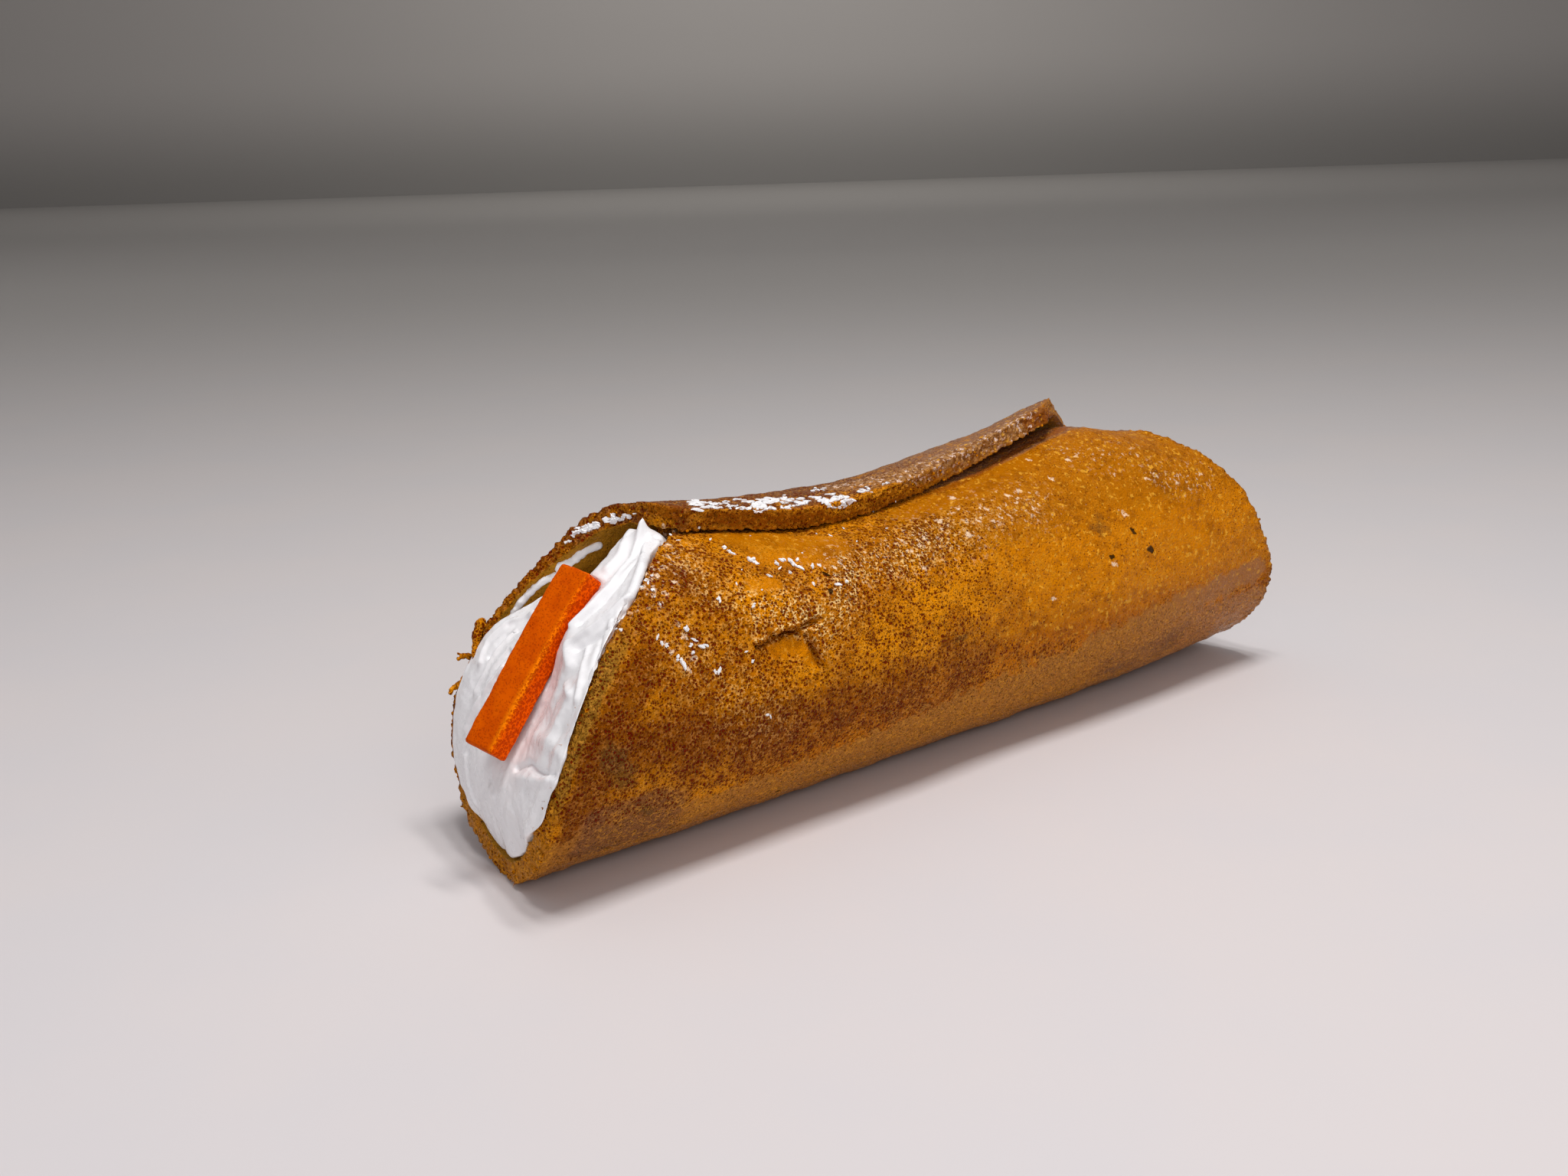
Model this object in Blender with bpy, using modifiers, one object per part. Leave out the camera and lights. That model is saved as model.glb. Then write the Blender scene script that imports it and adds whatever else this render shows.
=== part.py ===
"""A filled pastry roll, made as a foam replica.

One foam sheet is rolled into a tube and laps over itself along the top. A cream filling runs
through the tube from mouth to mouth, and a strip of candied peel lies on the cream in one mouth.

Frame: +X along the roll, from the mouth with the strip to the plain mouth, +Z up, +Y to the
side that the lapping flap comes from. Angles go round the roll in degrees: 0 is the bottom,
positive angles climb the +Y side, negative ones the -Y side, and both reach 180 at the top.
"""
import math

import bpy
from mathutils import Matrix, Vector

MM = 0.001

# The roll
LENGTH = 154.4 * MM
HALF_WIDTH = 20.0 * MM
BELLY = 22.8 * MM
CROWN = 23.7 * MM
SHEET = 3.0 * MM
REST_CUT = 0.5 * MM
TIP_SPAN = 0.3
NEAR_LIFT = 0.6 * MM
FAR_LIFT = 2.3 * MM

# The lap along the top: angles in degrees, places along the roll as shares of its length
FRONT_EDGE = -200.0
FLAP_EDGE = 199.0
FLAP_NEAR_TRIM = 6.0
FLAP_NEAR_SPAN = 0.3
FLAP_FAR_TRIM = 15.0
FLAP_FAR_START = 0.4
LAP_GAP = 0.45 * MM
LAP_SPAN = (117.0, 165.0)
CREST_SPAN = (120.0, 170.0)
SADDLE = 4.3 * MM
SADDLE_AT = 0.42
SADDLE_SPREAD = 0.22
SHOULDER = 1.2 * MM
SHOULDER_AT = 0.76
SHOULDER_SPREAD = 0.07
DROOP = 1.9 * MM
DROOP_SPAN = (0.78, 0.88)
EAR = 5.0 * MM
EAR_SPAN = (0.45, 0.85)
EAR_TURN = (150.0, 200.0)

# The two slanting mouths: how far the top stands back from the bottom tip, and how one side leads
NEAR_SETBACK = 27.9 * MM
NEAR_POWER = 3.1
NEAR_LEAD = 3.1 * MM
NEAR_CORNER = 4.5 * MM
NEAR_FLAP_TURN = (178.0, 198.0)
NEAR_FRONT_TURN = (-150.0, -180.0)
FAR_SETBACK = 18.5 * MM
FAR_POWER = 1.87
FAR_LEAD = 1.5 * MM
FAR_CORNER = 28.5 * MM
FAR_CORNER_TURN = (125.0, 187.0)
FAR_CORNER_POWER = 1.5

# Rough places on the sheet: waves are lobes round the roll, waves along it, start and share
RIM_WAVER = 0.35 * MM
RIM_WAVES = ((7, 0.6, 0.5), (13, 2.0, 0.3), (23, 4.1, 0.2))
FAR_RIM_SHIFT = 90.0
LUMPS = 0.22 * MM
LUMP_WAVES = ((2, 2.3, 0.0, 1.0), (3, -3.1, 1.0, 1.0), (5, 4.7, 2.5, 0.7))
LUMP_TURN = (20.0, 70.0)
TEAR_DEPTH = 3.2 * MM
TEAR_ANGLE = 95.5
TEAR_SPREAD = 4.5
CRATER_DEPTH = 0.9 * MM
CRATER_ALONG = 38.5 * MM
CRATER_ANGLE = -105.0
CRATER_LENGTH = 7.0 * MM
CRATER_TURN = 5.0
THIN_RIM = 0.45
THIN_RIM_TURN = (84.0, 98.0, 118.0, 152.0)
THIN_RIM_DEPTH = 0.06

# The cream: where it wells over the sheet's cut edge, and the swirls of its faces (y, z)
CREAM_GAP = 0.37 * MM
CREAM_PROUD = 0.8 * MM
CREAM_SUNK = 1.0 * MM
BOTTOM_RISE = 0.7 * MM
BOTTOM_RISE_TURN = (70.0, 20.0)
LIP_THICKNESS = 0.4 * MM
LIP_OUT = 0.5
LIP_START = 0.6
SWIRL_FADE = 6
EDGE_PULL = 4
FRONT_LIP = 3.0 * MM
FRONT_LIP_TURN = (-193.5, -189.0, -70.0, -26.0)
PEAK = 0.8 * MM
PEAK_TURN = (130.0, 160.0)
PEAK_FORWARD_TURN = (163.0, 176.0)
REAR_LIP = 1.9 * MM
REAR_LIP_TURN = (15.0, 60.0, 112.0, 128.0)
LAYER_CHANGE_TURN = (140.0, 170.0)
DOME = 1.6 * MM
DOME_AT = (0.0 * MM, 14.0 * MM)
DOME_SPREAD = (13.0 * MM, 10.0 * MM)
VALLEY = 3.8 * MM
VALLEY_AT = (-2.5 * MM, 25.0 * MM)
VALLEY_SPREAD = (6.5 * MM, 9.0 * MM)
BANK = 2.0 * MM
BANK_AT = (-6.5 * MM, 33.0 * MM)
BANK_SPREAD = (2.5 * MM, 4.0 * MM)
FAR_DOME = 2.0 * MM
FAR_DOME_AT = (0.0 * MM, 18.0 * MM)
FAR_DOME_SPREAD = (13.0 * MM, 13.0 * MM)
FOLD_HEIGHT = 0.45 * MM
FOLD_PITCH = 5.5 * MM
FOLD_SLOPE = 0.25
FOLD_FADE = (17.0 * MM, 26.0 * MM)
FAR_FOLD_PITCH = 7.2 * MM
FAR_FOLD_SLOPE = -0.4
POCKET_DEPTH = 12.0 * MM
POCKET_SIDE = 0.9 * MM
POCKET_SIDE_RUN = 2.5 * MM
POCKET_FLOOR = 36.0 * MM
POCKET_FLOOR_SLOPE = 0.15
POCKET_FLOOR_RUN = 4.0 * MM
POCKET_ROOF = 40.0 * MM
POCKET_ROOF_SLOPE = 0.5

# The strip of peel
STRIP_LENGTH = 27.9 * MM
STRIP_WIDTH = 5.8 * MM
STRIP_THICKNESS = 3.6 * MM
STRIP_CENTRE = (7.3 * MM, -0.5 * MM, 29.6 * MM)
STRIP_LEAN = 39.2
STRIP_TWIST = 10.1
STRIP_BOW = 0.3 * MM
STRIP_SWAY = 0.15 * MM
STRIP_SWAY_TURN = 2.5
STRIP_ROUNDING = 0.35 * MM
STRIP_GAP = 0.3 * MM

# Fineness of the meshes
CELLS_ROUND = 56
CELLS_ALONG = 26
CREAM_SEGMENTS = 80
NEAR_RINGS = 14
WALL_RINGS = 15
WALL_RING_POWER = 1.3
FAR_RINGS = 9
STRIP_CUTS = 7
EDGE_ANGLE = math.radians(50.0)


def clear_scene():
    for item in list(bpy.data.objects):
        bpy.data.objects.remove(item, do_unlink=True)


def new_collection(name):
    group = bpy.data.collections.new(name)
    bpy.context.scene.collection.children.link(group)
    return group


def finish_object(item, name, group, parent):
    """Give an object its name, its collection and its parent."""
    item.name = name
    item.data.name = name
    for old in list(item.users_collection):
        old.objects.unlink(item)
    group.objects.link(item)
    item.parent = parent


def material(name, colour, roughness):
    surface = bpy.data.materials.new(name)
    surface.use_nodes = True
    shader = surface.node_tree.nodes["Principled BSDF"]
    shader.inputs["Base Color"].default_value = (*colour, 1.0)
    shader.inputs["Roughness"].default_value = roughness
    shader.inputs["Metallic"].default_value = 0.0
    return surface


def ease(value, start=0.0, end=1.0):
    """Smooth step from 0 at start to 1 at end; start may be above end."""
    share = min(max((value - start) / (end - start), 0.0), 1.0)
    return share * share * (3.0 - 2.0 * share)


def window(value, start, full, last, end):
    """1 between full and last, easing to 0 at start and end."""
    return ease(value, start, full) * ease(value, end, last)


def hump(value, centre, spread):
    """Bell curve, 1 at its centre and near 0 beyond twice its spread."""
    return math.exp(-((value - centre) / spread) ** 2)


def mound(y, z, centre, spread):
    """Round hump on a mouth's face."""
    return hump(y, centre[0], spread[0]) * hump(z, centre[1], spread[1])


def raised(angle):
    """Height on the roll as a share: 0 at the bottom, 1 at the top and beyond it."""
    return (1.0 - math.cos(math.radians(min(abs(angle), 180.0)))) / 2.0


def from_top(angle):
    """Angle folded back at the top, so that both layers of the lap share one place."""
    return 180.0 - abs(abs(angle) - 180.0)


def rim_waver(angle):
    """The unevenness of a cut edge."""
    turn = math.radians(angle)
    return RIM_WAVER * sum(share * math.sin(lobes * turn + start) for lobes, start, share in RIM_WAVES)


def near_mouth_edge(angle):
    """Place along X of the mouth that holds the strip, as it was cut."""
    corner = NEAR_CORNER * (ease(angle, *NEAR_FLAP_TURN) + ease(angle, *NEAR_FRONT_TURN))
    setback = NEAR_SETBACK * raised(angle) ** NEAR_POWER + corner
    return setback + NEAR_LEAD * math.sin(math.radians(angle)) + rim_waver(angle)


def near_rim(angle):
    """The same mouth with the notch that is torn out of its +Y side."""
    return near_mouth_edge(angle) + TEAR_DEPTH * hump(angle, TEAR_ANGLE, TEAR_SPREAD)


def far_rim(angle):
    """Place along X of the plain mouth, cut back towards the flap's corner."""
    start, end = FAR_CORNER_TURN
    corner = FAR_CORNER * min(max((angle - start) / (end - start), 0.0), 1.0) ** FAR_CORNER_POWER
    setback = FAR_SETBACK * raised(angle) ** FAR_POWER + corner
    lead = FAR_LEAD * math.sin(math.radians(angle))
    return LENGTH - setback - lead + rim_waver(angle + FAR_RIM_SHIFT)


def relief(x, angle):
    """Low lumps of the baked-looking skin, and the shallow crater on the -Y side."""
    turn = math.radians(angle)
    along = x / LENGTH * math.tau
    lumps = sum(share * math.sin(lobes * turn + waves * along + start)
                for lobes, waves, start, share in LUMP_WAVES)
    crater = hump(x, CRATER_ALONG, CRATER_LENGTH) * hump(angle, CRATER_ANGLE, CRATER_TURN)
    return LUMPS * lumps * ease(abs(angle), *LUMP_TURN) - CRATER_DEPTH * crater


def tip_lift(x):
    """How far the underside rises off the table towards both tips."""
    share = x / LENGTH
    near = min(max(1.0 - share / TIP_SPAN, 0.0), 1.0)
    far = min(max(1.0 - (1.0 - share) / TIP_SPAN, 0.0), 1.0)
    return NEAR_LIFT * near ** 2 + FAR_LIFT * far ** 2


def crest(share, angle):
    """Rise and fall of the roll's top line: a saddle, then a shoulder and a droop."""
    line = (SHOULDER * hump(share, SHOULDER_AT, SHOULDER_SPREAD)
            - SADDLE * hump(share, SADDLE_AT, SADDLE_SPREAD) - DROOP * ease(share, *DROOP_SPAN))
    return line * ease(from_top(angle), *CREST_SPAN)


def section_point(x, angle, inset=0.0, lapped=True):
    """Point of the roll at x: its outer face, or a face that lies inset from it."""
    share = x / LENGTH
    turn = math.radians(angle)
    offset = relief(x, angle) + crest(share, angle) - inset
    if lapped:
        offset += (SHEET + LAP_GAP) * ease(angle, *LAP_SPAN)
        offset += EAR * ease(share, *EAR_SPAN) * ease(angle, *EAR_TURN)
    height = BELLY if math.cos(turn) > 0.0 else CROWN
    y = (HALF_WIDTH + offset) * math.sin(turn)
    z = BELLY - (height + offset) * math.cos(turn) + tip_lift(x) * (1.0 - raised(angle))
    return Vector((x, y, z))


def rest_flat(point):
    """Flatten the lowest sliver of the roll into the spot that it rests on."""
    return Vector((point.x, point.y, max(point.z, REST_CUT) - REST_CUT))


def flap_edge(along):
    """Angle of the flap's free edge, which draws back towards both of its corners."""
    near_trim = FLAP_NEAR_TRIM * ease(along, FLAP_NEAR_SPAN, 0.0)
    far_trim = FLAP_FAR_TRIM * ease(along, FLAP_FAR_START, 1.0)
    return FLAP_EDGE - near_trim - far_trim


def sheet_angle(across, along):
    """Angle round the roll; across runs from the sheet's inner edge to the flap's free edge."""
    return FRONT_EDGE + (flap_edge(along) - FRONT_EDGE) * across


def sheet_point(across, along):
    """Point of the sheet's outer face."""
    angle = sheet_angle(across, along)
    start = near_rim(angle)
    return rest_flat(section_point(start + (far_rim(angle) - start) * along, angle))


def sheet_share(across, along):
    """Thickness of the sheet as a share: the near mouth's rim is drawn out thin on the +Y side."""
    thin = window(sheet_angle(across, along), *THIN_RIM_TURN) * ease(along, THIN_RIM_DEPTH, 0.0)
    return 1.0 - (1.0 - THIN_RIM) * thin


def make_shell(group, parent):
    """The rolled sheet: a flat grid bent round by the rule above, then given its thickness."""
    bpy.ops.mesh.primitive_grid_add(x_subdivisions=CELLS_ROUND, y_subdivisions=CELLS_ALONG, size=1.0)
    shell = bpy.context.object
    thickness = shell.vertex_groups.new(name="thickness")
    for vertex in shell.data.vertices:
        across = vertex.co.x + 0.5
        along = vertex.co.y + 0.5
        thickness.add([vertex.index], sheet_share(across, along), "REPLACE")
        vertex.co = sheet_point(across, along)
    shell.data.shade_smooth()
    shell.data.materials.append(material("foam_crust", (0.50, 0.22, 0.045), 0.5))
    finish_object(shell, "shell", group, parent)
    wall = shell.modifiers.new("wall", "SOLIDIFY")
    wall.thickness = SHEET
    wall.offset = -1.0
    wall.use_even_offset = True
    wall.vertex_group = thickness.name
    return shell


def bore_point(x, angle, spread=0.0):
    """Point of the cream's side, just inside the sheet, or spread out over the sheet's cut edge."""
    point = section_point(x, angle, SHEET + CREAM_GAP - spread, lapped=False)
    return Vector((point.x, point.y, max(point.z - REST_CUT, SHEET + CREAM_GAP - spread)))


def lip_share(angle):
    """Where the cream wells over the sheet's cut edge: on the -Y side, and low on the +Y side."""
    past_top = angle if angle <= 0.0 else angle - 360.0
    return window(past_top, *FRONT_LIP_TURN), window(angle, *REAR_LIP_TURN)


def mouth_depth(y, z, setback, power, lead):
    """The slanting plane of a mouth, as a distance along X from its bottom tip."""
    share = min(max(z / (BELLY + CROWN - REST_CUT), 0.0), 1.1)
    return setback * share ** power + lead * y / HALF_WIDTH


def pocket(y, z):
    """The hollow behind the strip's upper end, where the roll's inside shows."""
    side = POCKET_SIDE + POCKET_ROOF_SLOPE * max(z - POCKET_ROOF, 0.0)
    floor = POCKET_FLOOR - POCKET_FLOOR_SLOPE * y
    return (POCKET_DEPTH * ease(y, side, side + POCKET_SIDE_RUN)
            * ease(z, floor, floor + POCKET_FLOOR_RUN))


def near_relief(y, z):
    """Swirls of the cream in the mouth: a dome, a valley by the strip, and spatula folds."""
    folds = FOLD_HEIGHT * ease(z, *FOLD_FADE) * math.sin(math.tau * (y + FOLD_SLOPE * z) / FOLD_PITCH)
    return (VALLEY * mound(y, z, VALLEY_AT, VALLEY_SPREAD) - DOME * mound(y, z, DOME_AT, DOME_SPREAD)
            - BANK * mound(y, z, BANK_AT, BANK_SPREAD) + folds)


def far_relief(y, z):
    """The plainer swirl of the cream in the other mouth."""
    folds = FOLD_HEIGHT * math.sin(math.tau * (y + FAR_FOLD_SLOPE * z) / FAR_FOLD_PITCH)
    return FAR_DOME * mound(y, z, FAR_DOME_AT, FAR_DOME_SPREAD) + folds


def touched_edge(mouth_edge, angle):
    """Place along X of a mouth's edge, on the layer of the sheet that the cream touches."""
    outer = mouth_edge(angle)
    if angle <= 0.0:
        return outer
    return outer + (mouth_edge(angle - 360.0) - outer) * ease(angle, *LAYER_CHANGE_TURN)


def peaked_edge(angle):
    """Place along X of the cream's near edge, which is drawn forward to the flap along the top."""
    if angle > 0.0:
        return near_mouth_edge(angle)
    outer = near_mouth_edge(angle)
    return outer + (near_mouth_edge(180.0) - outer) * ease(abs(angle), *PEAK_FORWARD_TURN)


def face_point(angle, radius, rim, mouth, swirl, edge, spread):
    """Point of a mouth's cream face, a share of radius out from its middle to its edge."""
    border = bore_point(rim + edge, angle, spread)
    centre = Vector((0.0, 0.0, BELLY - REST_CUT))
    y = border.y * radius
    z = centre.z + (border.z - centre.z) * radius
    inner = mouth(y, z) + swirl(y, z) * (1.0 - radius ** SWIRL_FADE)
    mend = rim + edge - mouth(border.y, border.z)
    return Vector((inner + mend * radius ** EDGE_PULL, y, z))


def near_mouth(y, z):
    return mouth_depth(y, z, NEAR_SETBACK, NEAR_POWER, NEAR_LEAD) + pocket(y, z)


def far_mouth(y, z):
    return LENGTH - mouth_depth(y, z, FAR_SETBACK, FAR_POWER, FAR_LEAD)


def lip_reach(angle, front, rear):
    """How far the cream spreads over the cut edge, highest where it peaks under the flap."""
    if front > rear:
        return (FRONT_LIP + PEAK * ease(abs(angle), *PEAK_TURN)) * ease(front, LIP_START, 1.0)
    return REAR_LIP * ease(rear, LIP_START, 1.0)


def cream_point(ring, angle):
    """Point of the cream: rings spread over the near face, run down the bore, and end the far face."""
    front, rear = lip_share(angle)
    near = peaked_edge(angle)
    spread = lip_reach(angle, front, rear)
    border = bore_point(near, angle, spread)
    sunk = CREAM_SUNK - BOTTOM_RISE * ease(abs(angle), *BOTTOM_RISE_TURN)
    edge = sunk - (sunk + CREAM_PROUD) * ease(max(front, rear), 0.0, LIP_OUT)
    edge += pocket(border.y, border.z)
    layer = touched_edge(near_mouth_edge, angle)
    over_inner_layer = angle > 360.0 + FRONT_EDGE
    if over_inner_layer:
        edge = min(edge, layer - near - CREAM_GAP - LIP_THICKNESS)
    if ring <= NEAR_RINGS:
        return face_point(angle, ring / NEAR_RINGS, near, near_mouth, near_relief, edge, spread)
    far = touched_edge(far_rim, angle)
    if ring <= NEAR_RINGS + WALL_RINGS:
        under = max(near + edge + LIP_THICKNESS, layer - CREAM_GAP)
        share = (ring - NEAR_RINGS - 1) / WALL_RINGS
        return bore_point(under + (far - CREAM_SUNK - under) * share ** WALL_RING_POWER, angle)
    share = (NEAR_RINGS + WALL_RINGS + FAR_RINGS - ring) / (FAR_RINGS - 1)
    return face_point(angle, share, far, far_mouth, far_relief, -CREAM_SUNK, 0.0)


def make_cream(group, parent):
    """The filling: a ball stretched to the roll's bore, with a shaped face in each mouth."""
    rings = NEAR_RINGS + WALL_RINGS + FAR_RINGS
    bpy.ops.mesh.primitive_uv_sphere_add(segments=CREAM_SEGMENTS, ring_count=rings, radius=1.0)
    cream = bpy.context.object
    for vertex in cream.data.vertices:
        x, y, z = vertex.co
        ring = round(math.acos(min(max(z, -1.0), 1.0)) / math.pi * rings)
        vertex.co = cream_point(ring, -math.degrees(math.atan2(y, x)))
    cream.data.shade_smooth()
    cream.data.materials.append(material("whipped_cream", (0.86, 0.85, 0.86), 0.3))
    finish_object(cream, "cream", group, parent)
    return cream


def strip_frame():
    """Where the strip leans: its own Z runs up its length, and its own X points into the cream."""
    turn = Matrix.Rotation(math.radians(STRIP_LEAN), 4, "Y")
    twist = Matrix.Rotation(math.radians(STRIP_TWIST), 4, "Z")
    return Matrix.Translation(STRIP_CENTRE) @ turn @ twist


def strip_bar(grown):
    """A bar of the strip's size, grown on every side, slightly bowed along its length."""
    bpy.ops.mesh.primitive_cube_add(size=1.0)
    bar = bpy.context.object
    size = Vector((STRIP_THICKNESS, STRIP_WIDTH, STRIP_LENGTH)) + Vector((grown, grown, grown)) * 2.0
    bar.scale = size
    bpy.ops.object.transform_apply(location=False, rotation=False, scale=True)
    bpy.ops.object.mode_set(mode="EDIT")
    for level in range(1, STRIP_CUTS + 1):
        height = size.z * (level / (STRIP_CUTS + 1) - 0.5)
        bpy.ops.mesh.select_all(action="SELECT")
        bpy.ops.mesh.bisect(plane_co=(0.0, 0.0, height), plane_no=(0.0, 0.0, 1.0))
    bpy.ops.object.mode_set(mode="OBJECT")
    for vertex in bar.data.vertices:
        share = 2.0 * vertex.co.z / STRIP_LENGTH
        vertex.co.x -= STRIP_BOW * (1.0 - share * share)
        vertex.co.y += STRIP_SWAY * math.sin(STRIP_SWAY_TURN * share)
    bar.matrix_world = strip_frame()
    return bar


def make_strip(group, parent):
    """The strip of peel, a straight-cut bar of foam with softened edges."""
    strip = strip_bar(0.0)
    strip.data.shade_smooth()
    strip.data.set_sharp_from_angle(angle=EDGE_ANGLE)
    strip.data.materials.append(material("peel_foam", (0.90, 0.22, 0.02), 0.6))
    finish_object(strip, "peel_strip", group, parent)
    rounding = strip.modifiers.new("rounding", "BEVEL")
    rounding.width = STRIP_ROUNDING
    rounding.segments = 1
    rounding.limit_method = "ANGLE"
    rounding.angle_limit = EDGE_ANGLE
    return strip


def press_strip_into(cream, cutters, parent):
    """Sink the strip's bed into the cream, a little larger than the strip."""
    bed = strip_bar(STRIP_GAP)
    finish_object(bed, "strip_bed", cutters, parent)
    bed.hide_render = True
    bed.display_type = "WIRE"
    cut = cream.modifiers.new("strip_bed", "BOOLEAN")
    cut.operation = "DIFFERENCE"
    cut.object = bed


def centre_on_origin(anchor, pieces):
    """Move the whole roll so that the middle of its base is the origin."""
    bpy.context.view_layer.update()
    graph = bpy.context.evaluated_depsgraph_get()
    corners = []
    for piece in pieces:
        whole = piece.evaluated_get(graph)
        corners += [whole.matrix_world @ Vector(corner) for corner in whole.bound_box]
    for axis in (0, 1):
        values = [corner[axis] for corner in corners]
        anchor.location[axis] = -(min(values) + max(values)) / 2.0


def build():
    clear_scene()
    parts = new_collection("cannoli")
    cutters = new_collection("cutters")
    anchor = bpy.data.objects.new("roll_frame", None)
    parts.objects.link(anchor)
    shell = make_shell(parts, anchor)
    cream = make_cream(parts, anchor)
    strip = make_strip(parts, anchor)
    press_strip_into(cream, cutters, anchor)
    centre_on_origin(anchor, (shell, cream, strip))


build()
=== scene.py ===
# %% [markdown]
# # A filled pastry roll made of foam rubber
# The real thing is a copy of a pastry: a sheet of foam rubber rolled into a tube, painted like a
# baked crust, filled with a white cream and dressed with a bar of candied peel. The solids come
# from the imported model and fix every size. This lesson makes the skin, the cream and the crumbs
# over them.

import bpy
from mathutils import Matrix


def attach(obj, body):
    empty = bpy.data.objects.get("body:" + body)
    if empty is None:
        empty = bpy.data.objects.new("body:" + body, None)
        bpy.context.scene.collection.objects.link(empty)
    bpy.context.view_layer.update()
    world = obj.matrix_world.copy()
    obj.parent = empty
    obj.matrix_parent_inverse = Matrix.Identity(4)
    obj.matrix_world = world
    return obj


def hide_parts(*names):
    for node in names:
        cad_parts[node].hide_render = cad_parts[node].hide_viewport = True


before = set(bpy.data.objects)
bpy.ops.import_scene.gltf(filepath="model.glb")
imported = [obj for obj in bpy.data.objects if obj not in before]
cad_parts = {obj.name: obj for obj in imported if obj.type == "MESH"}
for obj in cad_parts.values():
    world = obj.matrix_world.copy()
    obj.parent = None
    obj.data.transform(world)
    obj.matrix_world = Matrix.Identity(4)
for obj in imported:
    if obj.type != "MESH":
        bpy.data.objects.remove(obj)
print("solids:", sorted(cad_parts))

# %% Tools and the box of the solids
import math
import random

import bpy
import numpy as np
from mathutils import Matrix, Vector

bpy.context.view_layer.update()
MM = 0.001

# %% [markdown]
# ## The camera
# A camera is placed first, because small things are later set down where the picture shows them.
# It stands low at the left in front of the roll and looks along it. Its place, turn and lens were
# found by laying the model's outline over the picture, so the roll fills the same part of it.

# %% The camera
PICTURE = (2048, 1536)
LENS = 38.5075
SENSOR = 36.0
CAMERA_PLACE = (-0.181811, -0.191597, 0.09852)
CAMERA_TURN = (74.7724, 1.7851, -40.0758)
bpy.ops.object.camera_add(location=CAMERA_PLACE,
                          rotation=[math.radians(angle) for angle in CAMERA_TURN])
camera = bpy.context.object
camera.data.lens = LENS
camera.data.sensor_width = SENSOR
camera.data.clip_start = 0.005
bpy.context.scene.camera = camera
bpy.context.view_layer.update()
print("camera", [round(v, 3) for v in camera.location])

# %% [markdown]
# ## The table and the wall
# The roll lies on a pale table with a darker wall far behind it. Two planes would do, but one plane
# whose far edge is drawn up leaves no gap between them. It is turned to stand square to the camera.

# %% Table and wall
TABLE_SIZE = 7.0
TABLE_TURN = 40.0
TABLE_SHIFT = (0.0, -0.38, 0.0)
WALL_HEIGHT = 3.0
bpy.ops.object.select_all(action="DESELECT")
bpy.ops.mesh.primitive_plane_add(size=TABLE_SIZE, rotation=(0.0, 0.0, math.radians(-TABLE_TURN)))
table = bpy.context.object
table.name = "table"
bpy.ops.object.mode_set(mode="EDIT")
bpy.ops.mesh.select_mode(type="EDGE")
bpy.ops.mesh.select_all(action="DESELECT")
bpy.ops.object.mode_set(mode="OBJECT")
for edge in table.data.edges:
    edge.select = all(table.data.vertices[i].co.y > 0.0 for i in edge.vertices)
bpy.ops.object.mode_set(mode="EDIT")
bpy.ops.mesh.extrude_edges_move(TRANSFORM_OT_translate={"value": (0.0, 0.0, WALL_HEIGHT)})
bpy.ops.object.mode_set(mode="OBJECT")
table.location = Matrix.Rotation(math.radians(-TABLE_TURN), 3, "Z") @ Vector(TABLE_SHIFT)
bpy.ops.object.transform_apply(location=True, rotation=True, scale=True)
print("table with", len(table.data.polygons), "faces")


# %% [markdown]
# ## Finishes from nodes
# A finish is a network of small nodes, full of sums and mixes. It could be drawn by hand in the
# Shader Editor. Here each helper adds one node and gives back its output, so a line of code reads
# like a step of a recipe. Patterns follow Object coordinates, which are in metres, so that a pore
# is equally wide on every piece.

# %% Node helpers
def new_material(name):
    """A material, its node tree and its Principled shader."""
    material = bpy.data.materials.new(name)
    material.use_nodes = True
    return material, material.node_tree, material.node_tree.nodes["Principled BSDF"]


def connect(tree, value, socket):
    """Plug a socket in, or set a plain value."""
    if isinstance(value, bpy.types.NodeSocket):
        tree.links.new(value, socket)
    elif isinstance(value, (tuple, list)) and len(socket.default_value) == 4 and len(value) == 3:
        socket.default_value = (*value, 1.0)
    else:
        socket.default_value = value


def node(tree, kind, settings=None, out=0, **sockets):
    """Add a node, set it up and give back one of its outputs."""
    made = tree.nodes.new(kind)
    for key, value in (settings or {}).items():
        setattr(made, key, value)
    for key, value in sockets.items():
        connect(tree, value, made.inputs[key.replace("_", " ")])
    return made.outputs[out]


print("node helpers ready")


# %% Sums of nodes
def calc(tree, operation, first, second, third=0.0):
    """One sum: a Math node."""
    made = tree.nodes.new("ShaderNodeMath")
    made.operation = operation
    for value, socket in zip((first, second, third), made.inputs):
        connect(tree, value, socket)
    return made.outputs[0]


def times(tree, first, second):
    """One value times another."""
    return calc(tree, "MULTIPLY", first, second)


def minus(tree, first, second):
    """One value less another."""
    return calc(tree, "SUBTRACT", first, second)


def larger(tree, first, second):
    """The larger of two values."""
    return calc(tree, "MAXIMUM", first, second)


def slope(tree, value, steep, start):
    """A straight line: the value times steep, plus start."""
    return calc(tree, "MULTIPLY_ADD", value, steep, start)


def spread(tree, value, low, high, to_low=0.0, to_high=1.0):
    """Stretch a range of values softly onto another."""
    return node(tree, "ShaderNodeMapRange", {"interpolation_type": "SMOOTHSTEP"}, Value=value,
                From_Min=low, From_Max=high, To_Min=to_low, To_Max=to_high)


print("sums ready")


# %% Colours and patterns of nodes
def blend(tree, factor, first, second, kind="MIX"):
    """Mix two colours."""
    made = tree.nodes.new("ShaderNodeMix")
    made.data_type = "RGBA"
    made.blend_type = kind
    connect(tree, factor, made.inputs[0])
    connect(tree, first, made.inputs[6])
    connect(tree, second, made.inputs[7])
    return made.outputs[2]


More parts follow.
